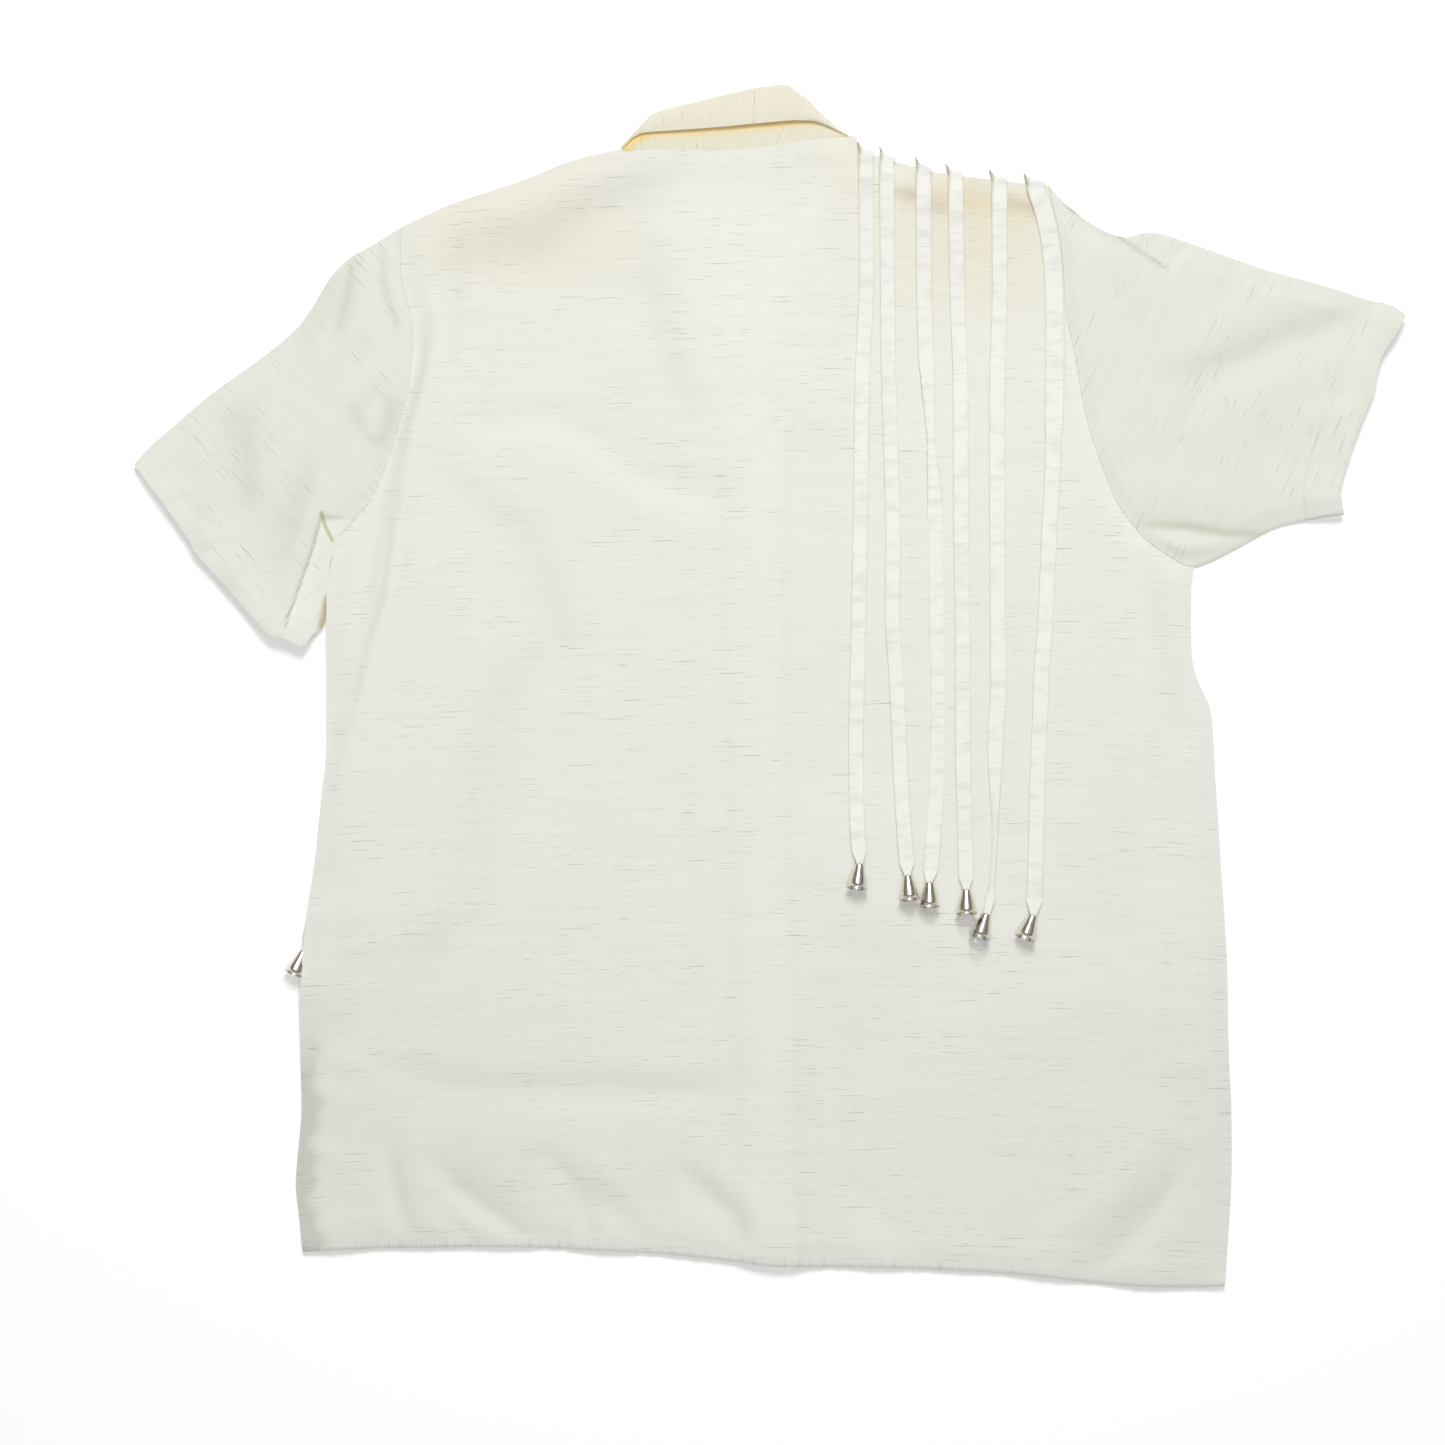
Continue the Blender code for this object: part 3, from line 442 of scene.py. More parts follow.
# %% [markdown]
# Folds are measured from their crest. For any point the nearest place on the crest's route is
# found, with its distance, how far along the route it is and on which side it lies.

# %% Distances to a route


def nearest_on(x, y, route):
    """Distance to a route, share of the way along it, and the side: positive on its right."""
    route = np.array(route, dtype=float)
    run = run_of(route)
    best = np.full(np.shape(x), 1e9)
    share = np.zeros(np.shape(x))
    side = np.zeros(np.shape(x))
    for number, (start, end) in enumerate(zip(route, route[1:])):
        way = end - start
        length = np.hypot(*way)
        part = np.clip(((x - start[0]) * way[0] + (y - start[1]) * way[1]) / length**2, 0, 1)
        off_x = x - start[0] - way[0] * part
        off_y = y - start[1] - way[1] * part
        distance = np.hypot(off_x, off_y)
        closer = distance < best
        best = np.where(closer, distance, best)
        share = np.where(closer, (run[number] + part * length) / run[-1], share)
        turn = off_x * way[1] - off_y * way[0]
        side = np.where(closer, np.sign(turn), side)
    return best, share, side


def folds_at(x, y, folds):
    """The sum of soft ridges and troughs: each row is its height, half width and route."""
    total = np.zeros(np.shape(x))
    for height, half_width, route in folds:
        distance, share, _ = nearest_on(x, y, route)
        fullness = 0.35 + 0.65 * np.sin(np.pi * np.clip(share, 0.02, 0.98)) ** 0.6
        total += height * fullness * np.exp(-((distance / half_width) ** 2))
    return total


def ledges_at(x, y, ledges):
    """Folded edges: each row is its drop, its reach and its route, and drops on the right."""
    total = np.zeros(np.shape(x))
    for drop, reach_back, route in ledges:
        distance, share, side = nearest_on(x, y, route)
        inside = ease(share * 12) * ease((1 - share) * 12)
        beyond = np.where(side > 0, distance, 0.0)
        total -= drop * inside * ease(beyond / 1.6) * np.exp(-((beyond / reach_back) ** 2))
    return total


def beside(x, y, route, half_width, power=2):
    """1 on a route, and a soft fall to 0 beyond its half width."""
    return np.exp(-((nearest_on(x, y, route)[0] / half_width) ** power))


def shades_at(x, y, shades):
    """The painted shade of each mark in a table: its rows are depth, half width and route."""
    for depth, half_width, route in shades:
        distance, share, _ = nearest_on(x, y, route)
        inside = ease(share * 5 + 0.3) * ease((1 - share) * 5 + 0.3)
        yield depth * inside * np.exp(-((distance / half_width) ** 2))


def dyed(tone, share, colour):
    """A tone multiplied by a colour, or by a grey, as far as each point's share says."""
    return tone * (1 + (np.asarray(colour) - 1) * share[..., None])


# %% Outline of the shirt
LEFT_SIDE = [
    (-328, -396), (-331, -368), (-333, -348), (-331, -322), (-329, -295), (-330, -251), (-329, -207),
    (-326, -172), (-320, -127), (-315, -76), (-312, -46), (-312, 10), (-312, 58), (-306, 101),
]
RIGHT_SIDE = [
    (317, -420), (320, -381), (322, -346), (322, -297), (320, -250), (319, -192), (315, -129), (311, -66),
    (308, -20), (302, -4), (296, 11), (294, 32), (294, 67), (296, 83),
]
LEFT_ARMHOLE = [(-306, 101), (-278, 135), (-259, 190), (-252, 227), (-252, 256), (-259, 284), (-260, 321)]
RIGHT_ARMHOLE = [
    (296, 83), (285, 87), (262, 103), (243, 127), (232, 153), (221, 186), (212, 233), (206, 266),
    (203, 307), (194, 350),
]
LEFT_SHOULDER = [(-260, 321), (-225, 337), (-197, 346), (-169, 356), (-141, 367), (-113, 374), (-101, 375)]
RIGHT_SHOULDER = [
    (58, 385), (60.5, 380), (62.5, 373.5), (74, 370.5), (86, 367), (112, 360), (134, 357), (166, 353),
    (194, 350),
]
BACK_NECK = [
    (-101, 375), (-84, 376), (-63, 376), (-28, 376), (2, 379), (24, 382.5), (44, 384.6), (58, 385),
]
HEM = [
    (-328, -396), (-282, -394), (-232, -393), (-173, -393), (-127, -395), (-85, -397), (-43, -401),
    (5, -406), (69, -407), (126, -409), (183, -413), (217, -417), (251, -420), (296, -421), (317, -420),
]
PLACKET_LEFT = [(-18, -400), (-22, -220), (-27, -80), (-34, 130), (-34, 165)]
PLACKET_RIGHT = [(20, -406), (18, -220), (10, -80), (8, 90), (13, 180)]
PLACKET_MIDDLE = [(1, -440), (-3, -220), (-9, -80), (-13, 110), (-11, 196)]
LEFT_NECKLINE = [(13, 180), (-4, 216), (-26, 232), (-57, 263), (-82, 312), (-92, 351), (-101, 375)]
RIGHT_NECKLINE = [(-34, 165), (-4, 216), (9, 256), (20, 284), (41, 326), (56, 362), (59, 376)]
body_outline = np.vstack([
    smooth_line(LEFT_SIDE, 3), smooth_line(LEFT_ARMHOLE, 3)[1:], smooth_line(LEFT_SHOULDER, 2)[1:],
    smooth_line(BACK_NECK, 2)[1:], smooth_line(RIGHT_SHOULDER, 2)[1:],
    smooth_line(RIGHT_ARMHOLE, 3)[::-1][1:], smooth_line(RIGHT_SIDE, 3)[::-1][1:],
    smooth_line(HEM, 2)[::-1][1:],
])
print("outline points:", len(body_outline))

# %% [markdown]
# ## How high each layer lies
#
# From the floor up there are the collar's front leaves, one strap and the buttons, then the
# two fronts, then the back. Each layer is a function of its place, so what lies on a layer
# can ask for its height and rest on it.

# %% Heights of the layers
CLOTH = 0.6
FRONT_LEVEL = 0.2
LAYER_GAP = 0.35
PLACKET_OVERLAP = 0.9
LEAF_LEFT_LINE = [(-113, 365), (-100, 308), (-81, 262), (-56, 225)]
LEAF_RIGHT_LINE = [(72, 364), (61, 315), (48, 269), (32, 229)]
UNDER_STRAP = [(-196, 343), (-205, 250), (-228, 140), (-262, 20), (-296, -80), (-317, -150)]
BELL_UNDER_SIDE = [(-330, -184), (-331, -196)]
SWELL_UNDER_BELLS = [(58, -112), (60, -142)]


def rise_over(x, y, route, half_width, height, soft):
    """How far cloth rises over something that lies under it."""
    distance = nearest_on(x, y, route)[0]
    return height * (1 - ease((distance - half_width) / soft))


def placket_share(x, y):
    """1 inside the placket's strip, 0 outside."""
    inside = np.minimum(x - x_on(PLACKET_LEFT, y), x_on(PLACKET_RIGHT, y) - x)
    return ease((inside + 2) / 4) * ease((198 - y) / 12)


def front_bottom(x, y):
    """The lower side of the fronts, which rise over what lies on the floor below them."""
    middle = np.interp(y, [-400, 200], [1, -12])
    buttons = 2.3 * (1 - ease((np.abs(x - middle) - 8) / 22)) * ease((215 - y) / 25)
    lifts = [
        rise_over(x, y, LEAF_LEFT_LINE, 24, 1.5, 60),
        rise_over(x, y, LEAF_RIGHT_LINE, 24, 1.5, 60),
        rise_over(x, y, UNDER_STRAP, 7, 1.5, 16),
        buttons,
    ]
    bell = rise_over(x, y, BELL_UNDER_SIDE, 8, 7.4, 60)
    return FRONT_LEVEL + np.maximum.reduce(lifts) + bell


def under_back(x, y):
    """The lowest height at which the back clears both fronts and, in a soft rise, their overlap."""
    distance = nearest_on(x, y, PLACKET_MIDDLE)[0]
    overlap = (PLACKET_OVERLAP + 0.2) * (1 - ease((distance - 20) / 36))
    return front_bottom(x, y) + CLOTH + LAYER_GAP + overlap


# %% [markdown]
# The back's folds follow the photograph: a soft ridge beside each armhole, a long valley down
# the left half, a level one above the hem and short pleats that run up from the hem. They are
# uneven in length and depth, and the hidden right half has quieter ones.

# %% Folds of the back
BACK_LOFT = 2.6
BACK_FOLDS = [
    (2.4, 7, [(-236, 267), (-245, 221), (-256, 181), (-261, 153), (-268, 110), (-273, 66)]),
    (-1.5, 5, [
        (-230, 267), (-238, 221), (-249, 181), (-254, 153), (-261, 110), (-266, 66), (-278, 27),
        (-286, -10), (-300, -59),
    ]),
    (2.0, 6, [(-270, 90), (-285, 27), (-293, -10), (-306, -59)]),
    (-2.4, 15, [(-232, 316), (-170, 310), (-122, 334), (-66, 360)]),
    (1.4, 18, [(-226, 280), (-190, 262), (-150, 266)]),
    (-2.2, 13, [(-204, 186), (-148, 186), (-92, 144), (-36, 130)]),
    (1.5, 17, [(-140, 158), (-100, 142), (-60, 110)]),
    (-3.0, 14, [(-232, 144), (-176, 102), (-152, 32), (-176, -10)]),
    (-3.0, 14, [(-186, -10), (-200, -80), (-215, -164), (-260, -230)]),
    (2.4, 17, [(-226, 84), (-206, 20), (-232, -60), (-256, -140)]),
    (2.2, 20, [(-116, 70), (-124, -40), (-162, -150)]),
    (-2.6, 11, [(-268, -268), (-230, -279), (-190, -283), (-120, -282), (-62, -285), (-22, -279)]),
    (1.0, 20, [(-230, -312), (-160, -318), (-90, -312)]),
    (-2.8, 6.5, [(-271, -318), (-267, -346), (-260, -370), (-250, -392)]),
    (1.6, 10, [(-254, -310), (-244, -346), (-234, -378)]),
    (-3.0, 7, [(-240, -330), (-222, -352), (-206, -364), (-186, -376), (-173, -387), (-168, -397)]),
    (2.0, 10, [(-206, -330), (-184, -348), (-160, -368)]),
    (-2.0, 5, [(-234, -362), (-224, -376), (-212, -392)]),
    (-3.0, 7, [(-160, -328), (-142, -346), (-130, -364), (-126, -396)]),
    (2.0, 11, [(-124, -328), (-106, -350), (-96, -372)]),
    (-1.8, 9, [(-118, -358), (-104, -372), (-86, -392)]),
    (-2.8, 8, [(-66, -336), (-48, -354), (-30, -370), (-16, -394)]),
    (1.8, 12, [(-46, -330), (-22, -352), (-2, -376)]),
    (-1.4, 10, [(55, -339), (70, -364), (90, -392)]),
    (-3.0, 10, [(284, -336), (276, -358), (258, -378), (226, -409)]),
    (2.6, 14, [(262, -318), (246, -350), (206, -380)]),
    (-2.4, 8, [(265, 88), (274, 60), (279, 32), (290, -38)]),
    (1.2, 14, [(248, 70), (256, 20), (266, -40)]),
    (-1.0, 14, [(238, -60), (244, -115), (238, -170)]),
    (1.1, 26, [(10, 120), (24, 20), (30, -120)]),
    (1.0, 20, [(226, 180), (232, 100), (226, 20)]),
    (-0.9, 18, [(30, -150), (60, -190), (120, -210)]),
    (0.9, 22, [(150, -230), (220, -220), (290, -236)]),
    (-0.8, 16, [(180, -280), (250, -276), (300, -284)]),
    (1.1, 6, [(-316, -250), (-300, -264), (-280, -268)]),
    (0.9, 5, [(-318, -282), (-302, -292), (-286, -292)]),
    (1.0, 5, [(-320, -322), (-306, -332), (-292, -334)]),
    (0.9, 5, [(308, -260), (294, -266), (282, -264)]),
    (0.8, 5, [(310, -312), (296, -320), (284, -320)]),
]
HEM_BAND = 7.0
# Each row is a wave's height, its length and where it starts.
PUCKERS = ((0.30, 11.0, 0.3), (0.22, 17.0, 1.7), (0.14, 6.3, 4.1))
EDGE_RIPPLES = ((0.75, 63.0, 0.9), (0.60, 97.0, 2.2))


# %% [markdown]
# The hem and the side seams are drawn up by their stitches, so they pucker. The back rises a
# little under each bell, and lies down on the fronts at its edges.

# %% Heights of the back


def waves_along(length, waves):
    """A few sine waves of different lengths, one on another."""
    return sum(size * np.sin(length / pitch * 2 * np.pi + start) for size, pitch, start in waves)


def puckers_along(length):
    """Small uneven puckers that a narrow hem's stitching draws up."""
    return waves_along(length, PUCKERS) + 0.45


def ripples_along(length):
    """Longer soft waves of a free edge."""
    return waves_along(length, EDGE_RIPPLES) + sum(size for size, _, _ in EDGE_RIPPLES)


hem_line = smooth_line(HEM, 2)
side_lines = [smooth_line([p for p in side if p[1] < -200], 2) for side in (LEFT_SIDE, RIGHT_SIDE)]


def hem_pull(x, y):
    """How strongly stitches draw the cloth: along the hem, and up both side seams near it."""
    at_hem = beside(x, y, hem_line, 5.5, 4)
    at_side = sum(beside(x, y, side, 4.5) for side in side_lines)
    along_hem = at_hem * ease((170 - x) / 160 + 0.45)
    return np.stack([along_hem, at_side * ease((-y - 225) / 40) * (1 - at_hem)], axis=-1)


def back_bottom(x, y):
    """The lower side of the back: on the fronts at its edges, and loose with folds between."""
    edge = nearest_on(x, y, body_outline)[0]
    hem_gap = nearest_on(x, y, hem_line)[0]
    fade = ease(edge / 18)
    loft = fade * np.maximum(BACK_LOFT + folds_at(x, y, BACK_FOLDS), 0.0)
    hem_waves = ripples_along(x) * np.exp(-((hem_gap / 26) ** 2))
    hem_puckers = puckers_along(x) * np.exp(-((np.maximum(hem_gap - 3, 0) / 7) ** 2))
    side_puckers = puckers_along(y * 1.1) * sum(beside(x, y, side, 6) for side in side_lines)
    band = 0.2 * (1 - ease((hem_gap - HEM_BAND) / 2.4))
    below = SWELL_UNDER_BELLS[-1][1]
    swell_y = np.where(y < below, below + (y - below) * 0.5, y)
    swell = rise_over(x, swell_y, SWELL_UNDER_BELLS, 6, 4.4, 58)
    return under_back(x, y) + loft + swell + hem_waves + hem_puckers + side_puckers + band


def back_top(x, y):
    """The upper side of the back."""
    return back_bottom(x, y) + CLOTH


# %% [markdown]
# ## Cloth shells
#
# Every panel is a net of points on its height, turned into a mesh with two layers of faces.
# The map that the material reads is laid along the weft, and the tone is kept on the points.

# %% Build a shell from a net of points


def grain_map(x, y, degrees, bow=0.0):
    """The cloth's own map in metres, with its weft at an angle to the shirt's width, or bowed."""
    turn = math.radians(degrees)
    along_weft = x * math.cos(turn) + y * math.sin(turn)
    across_weft = -x * math.sin(turn) + y * math.cos(turn) + bow * x**2
    return np.stack([along_weft, across_weft], axis=-1) * MM


def net_faces(rows, columns, ring=False):
    """The four-sided faces of a net, which closes on itself where it is a ring."""
    j, i = np.meshgrid(np.arange(rows - 1), np.arange(columns if ring else columns - 1), indexing="ij")
    near = (i + 1) % columns
    corners = [j * columns + i, j * columns + near, (j + 1) * columns + near, (j + 1) * columns + i]
    return np.stack(corners, axis=-1).reshape(-1, 4)


def shell(name, net, grain, tone, thickness, finish, ring=False, drawn=None):
    """A thin closed shell: the net is its upper side and the thickness lies below it."""
    rows, columns = net.shape[:2]
    faces = net_faces(rows, columns, ring)
    mesh = bpy.data.meshes.new(name)
    mesh.from_pydata((net.reshape(-1, 3) * MM).tolist(), [], faces.tolist())
    corners = np.empty(len(mesh.loops), dtype=np.int64)
    mesh.loops.foreach_get("vertex_index", corners)
    mesh.uv_layers.new(name="grain")
    mesh.uv_layers["grain"].data.foreach_set("uv", grain.reshape(-1, 2)[corners].ravel())
    colours = mesh.color_attributes.new("tone", "FLOAT_COLOR", "POINT")
    full = np.concatenate([tone.reshape(-1, 3), np.ones((rows * columns, 1))], axis=1)
    colours.data.foreach_set("color", full.ravel())
    marks = mesh.color_attributes.new("pucker", "FLOAT_COLOR", "POINT")
    full = np.zeros((rows * columns, 4))
    if drawn is not None:
        full[:, :2] = drawn.reshape(-1, 2)
    marks.data.foreach_set("color", full.ravel())
    mesh.materials.append(finish)
    piece = bpy.data.objects.new(name, mesh)
    scene.collection.objects.link(piece)
    bpy.context.view_layer.objects.active = piece
    piece.select_set(True)
    wall = piece.modifiers.new("thickness", "SOLIDIFY")
    wall.thickness = thickness * MM
    wall.offset = -1.0
    bpy.ops.object.modifier_apply(modifier=wall.name)
    bpy.ops.object.shade_smooth_by_angle(angle=math.radians(40))
    bpy.ops.object.select_all(action="DESELECT")
    print(name, len(piece.data.polygons), "faces")
    return piece


def place_piece(piece, slot, *nodes):
    """Every piece rides the one body and stands for its solids."""
    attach(piece, "root")
    if nodes:
        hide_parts(*nodes)
    return piece


# %% [markdown]
# ## Tone of the body
#
# Thin cloth is brightest where it lies alone over the pale floor, as inside the front's
# neckline. The placket's folded edges and the side seams show as faint bands. The cloth by both
# shoulders is warmer with painted shade, most by the right one, where straps and seams crowd together.

# %% Tone of the back
# Painted warm shade by both shoulders.
WARM_SHADE = (0.975, 0.945, 0.875)
COOL = (1.005, 1.0075, 1.015)
ALONE = 1.010
# Painted warm shade near the neck.
NECK_SHADE = (0.985, 0.972, 0.935)
PLACKET_TONE = 1.012
PLACKET_EDGES = ((PLACKET_LEFT, 0.988), (PLACKET_RIGHT, 0.978))
# Painted shade on the lower left edge.
LOW_LEFT_EDGE_SHADE = 0.80
# Painted shade in the lower corners.
LOW_CORNER_SHADE = 0.965
# A painted highlight beside the right armhole seam.
SEAM_RIDGE_HIGHLIGHT = 1.022
# Painted warm shade in the valley below the right shoulder seam.
SHOULDER_VALLEY_SHADE = (0.95, 0.905, 0.82)
# Painted shade in the crease beside the left armhole, and a painted highlight on its lip.
CREASE_SHADE = (0.915, 0.905, 0.88)
CREASE_LIP_HIGHLIGHT = (1.015, 1.01, 0.99)
HEM_STITCHES = 0.986
# A painted shadow along the hem's edge.
HEM_EDGE_SHADOW = 0.72
CREASE = [
    (-234, 267), (-243, 221), (-254, 181), (-259, 153), (-266, 110), (-271, 66), (-283, 27), (-291, -10),
    (-304, -59),
]
# Painted shade along the back's valleys and folds, and between the straps below the right shoulder. Each row
# is its depth, half width and route.
BACK_SHADES = [
    (0.070, 17, [(-242, 300), (-170, 308), (-122, 338), (-64, 362)]),
    (0.045, 14, [(-90, 366), (-30, 368), (10, 370), (50, 374)]),
    (0.026, 17, [(-232, 140), (-176, 98), (-152, 32), (-184, -10), (-200, -80), (-215, -164), (-260, -230)]),
    (0.030, 8, [(265, 88), (279, 32), (290, -38)]),
    (0.040, 20, [(-322, -120), (-300, -150), (-292, -180)]),
    (0.030, 18, [(-230, -330), (-150, -350), (-60, -350)]),
    (0.015, 22, [(244, -60), (244, -115), (236, -180)]),
    (0.024, 11, [(-268, -274), (-190, -284), (-120, -283), (-22, -279)]),
    (0.040, 5, [(284, -336), (279, -346), (258, -377), (226, -409)]),
    (0.030, 5, [(-262, -330), (-258, -362), (-253, -392)]),
    (0.030, 5, [(-222, -343), (-200, -359), (-168, -386)]),
    (0.030, 5, [(-140, -350), (-128, -368), (-125, -394)]),
    (0.028, 7, [(-62, -340), (-42, -360), (-20, -390)]),
    (0.044, 11, [(-86, 300), (-76, 255), (-63, 213), (-46, 190)]),
    (0.032, 7, [(-270, -233), (-240, -229), (-210, -222)]),
    (0.026, 13, [(-306, -190), (-262, -186), (-226, -178)]),
    (0.050, 3.5, [(-238, 266), (-245, 222), (-261, 169), (-272, 104), (-283, 45)]),
    (0.170, 4.2, [(83, 346), (102, 342)]),
    (0.130, 4.8, [(111, 337), (124, 333)]),
    (0.045, 7, [(136, 351), (153, 347)]),
    (0.150, 4.2, [(163, 341), (188, 333)]),
]


# %% [markdown]
# The tone of the back starts from what shows through it, with painted warm shade added. Its edges
# and creases come after, with painted shade and highlights, and then the painted shade of its folds.

# %% Layers that show through the back, and painted warm shade


def show_through_and_shade(x, y, tone):
    """What shows through: the single layer in the neckline and the placket; and painted warm shade by the
    shoulders, at the neck and below the right shoulder seam.
    """
    neck_left = x_on(LEFT_NECKLINE[1:], y)
    neck_right = x_on(RIGHT_NECKLINE[1:], y)
    alone = ease((x - neck_left) / 14) * ease((neck_right - x) / 14) * ease((y - 216) / 20)
    tone = dyed(dyed(tone, alone, ALONE), alone, COOL)
    # Painted warm shade across the top of the back, near the neck.
    tone = dyed(tone, ease((y - 318) / 50) * (1 - ease((x - 62) / 8)), NECK_SHADE)
    tone = dyed(tone, placket_share(x, y), PLACKET_TONE)
    for edge, grey in PLACKET_EDGES:
        tone = dyed(tone, beside(x, y, edge, 2.6), grey)
    # Painted warm shade: in the valley by the left shoulder, and between the straps by the right one.
    shoulder = 1.5 * np.exp(-(((x - 140) / 80) ** 2) - ((y - 325) / 66) ** 2)
    shoulder = shoulder + 1.2 * np.exp(-(((x + 170) / 92) ** 2) - ((y - 310) / 34) ** 2)
    tone = dyed(tone, np.clip(shoulder, 0, 1.5), WARM_SHADE)
    # Painted warm shade in the valley just below the right shoulder seam, between the straps.
    band_level = np.interp(x, [80, 200], [347, 331])
    band = np.exp(-(((y - band_level) / 9.0) ** 2)) * ease((x - 88) / 8) * ease((196 - x) / 8)
    return dyed(tone, band, SHOULDER_VALLEY_SHADE)


# %% Painted shade and highlights at the edges and creases of the back


def edges_and_creases(x, y, tone):
    """Painted shade at the low corners and edge, the left armhole's crease and the hem's edge; painted
    highlights by the right armhole and the crease; the hem's stitch line.
    """
    # Painted shade on the lower left side, where the edge rolls down to the floor, with a ragged inner
    # border.
    low_left_shade = ease((-y - 235) / 45) * ease((-250 - x) / 20)
    ragged = 12.5 + 2.6 * np.sin(y / 7.0) + 1.8 * np.sin(y / 3.1 + 1.0)
    tone = dyed(tone, beside(x, y, side_lines[0], ragged, 6) * low_left_shade, LOW_LEFT_EDGE_SHADE)
    # Painted shade: the lower corners are a little darker, as less light reaches them.
    tone = dyed(tone, ease((-y - 120) / 220) * ease((np.abs(x) - 60) / 240), LOW_CORNER_SHADE)
    # Painted highlight on the lit ridge beside the right armhole seam.
    right_seam_gap = nearest_on(x, y, RIGHT_ARMHOLE)[0]
    tone = dyed(tone, np.exp(-(((right_seam_gap - 4) / 4.5) ** 2)) * ease((300 - y) / 60), SEAM_RIDGE_HIGHLIGHT)
    # Painted shade in the crease beside the left armhole, and a painted highlight on its lip, on the
    # armhole's side.
    crease_gap, crease_share, crease_side = nearest_on(x, y, CREASE)
    along_crease = ease(crease_share * 6) * ease((1 - crease_share) * 5)
    tone = dyed(tone, np.exp(-((crease_gap / 3.0) ** 2)) * along_crease, CREASE_SHADE)
    tone = dyed(tone, np.exp(-(((crease_gap - 9) / 7.0) ** 2)) * (crease_side > 0), CREASE_LIP_HIGHLIGHT)
    # The hem's stitches darken a line, and a painted shadow darkens the hem's very edge.
    hem_gap = nearest_on(x, y, hem_line)[0]
    tone = dyed(tone, np.exp(-(((hem_gap - HEM_BAND) / 1.3) ** 2)), HEM_STITCHES)
    return dyed(tone, np.exp(-((hem_gap / 1.9) ** 2)), HEM_EDGE_SHADOW)


def back_tone(x, y):
    """How the layers below, painted shade and painted light colour the back, as a multiplier of the yarn's
    own colour.
    """
    tone = edges_and_creases(x, y, show_through_and_shade(x, y, np.ones((*np.shape(x), 3))))
    for shade in shades_at(x, y, BACK_SHADES):
        tone = dyed(tone, shade, 0.0)
    # Painted light: a little brighter towards the collar and darker towards the hem, as the light falls off.
    return tone * (1 + 0.010 * ease((y + 100) / 400) - 0.020 * ease((-y - 60) / 330))[..., None]


# %% Net of the back
WEFT_BOW = 0.00007
BACK_STEP = 4.2
EDGE_ROWS = [0, 1.2, 3, 5, 6.2, 7.2, 8.4, 10, 12.5]
SIDE_RUN = 497
SIDE_CUTS = np.concatenate([EDGE_ROWS, np.arange(16, 490, BACK_STEP), [SIDE_RUN]]) / SIDE_RUN
ARMHOLE_CUTS = np.linspace(0, 1, 58)
NECK_STEPS = 50
SHOULDER_STEPS = (52, 46)


def side_cut(side, armhole, cuts=SIDE_CUTS, armhole_cuts=ARMHOLE_CUTS):
    """One whole side of a panel: its side seam and then its armhole."""
    return joined(cut_line(smooth_line(side), cuts), cut_line(smooth_line(armhole), armhole_cuts))


top_line = joined(
    even_cut(LEFT_SHOULDER, SHOULDER_STEPS[0]), even_cut(BACK_NECK, NECK_STEPS),
    even_cut(RIGHT_SHOULDER, SHOULDER_STEPS[1]),
)
back_plan = patch(
    even_cut(HEM, len(top_line) - 1), top_line,
    side_cut(LEFT_SIDE, LEFT_ARMHOLE), side_cut(RIGHT_SIDE, RIGHT_ARMHOLE), late=3,
)
back_x = back_plan[..., 0]
back_y = back_plan[..., 1]
back_net = np.stack([back_x, back_y, back_top(back_x, back_y)], axis=-1)
back = shell(
    "back_panel", back_net, grain_map(back_x, back_y, 0.6, WEFT_BOW), back_tone(back_x, back_y),
    CLOTH, shirt_cloth, drawn=hem_pull(back_x, back_y),
)
place_piece(back, "cloth", "back")
print("back's highest point in mm:", round(float(back_net[..., 2].max()), 2))

# %% [markdown]
# ## The two fronts
#
# The fronts lie face down under the back, so they show only along the edges. Each is cut to
# its side seam, armhole, shoulder, neckline and placket edge. The right one laps over the
# left one's placket from this side.

# %% Fronts
FRONT_COLUMNS = 46
FRONT_SIDE_CUTS = np.linspace(0, 1, 70)
FRONT_ARMHOLE_CUTS = np.linspace(0, 1, 34)
FRONT_ROWS = len(FRONT_SIDE_CUTS) + len(FRONT_ARMHOLE_CUTS) - 2
FRONT_TONE = 0.985


def part_of_hem(start_x, end_x):
    """The stretch of the hem between two places across the shirt."""
    x = np.linspace(start_x, end_x, 60)
    return np.stack([x, np.interp(x, *zip(*HEM))], axis=1)


def inner_edge(placket, neckline):
    """A front's free edge: up the placket, then along the neckline to the shoulder."""
    line = joined(smooth_line(placket), smooth_line(neckline))
    return cut_line(line, np.linspace(0, 1, FRONT_ROWS + 1))


def make_front(side, outer, inner, hem_run, shoulder):
    """One front as a shell on the floor, with its outer side down. The right one laps over."""
    low = cut_line(hem_run, np.linspace(0, 1, FRONT_COLUMNS + 1))
    high = even_cut(shoulder, FRONT_COLUMNS)
    right = side == "right"
    plan = patch(low, high, *((inner, outer) if right else (outer, inner)), late=3)
    x = plan[..., 0]
    y = plan[..., 1]
    height = front_bottom(x, y) + CLOTH
    if right:
        near_edge = nearest_on(x, y, PLACKET_RIGHT)[0] * (x > x_on(PLACKET_RIGHT, y))
        height = height + PLACKET_OVERLAP * ease((215 - y) / 14) * (1 - ease(near_edge / 12))
    net = np.stack([x, y, height], axis=-1)
    tone = np.full(net.shape, FRONT_TONE)
    piece = shell(f"front_{side}_panel", net, grain_map(x, y, 0.8), tone, CLOTH, shirt_cloth)
    return place_piece(piece, "cloth", "front_" + side)


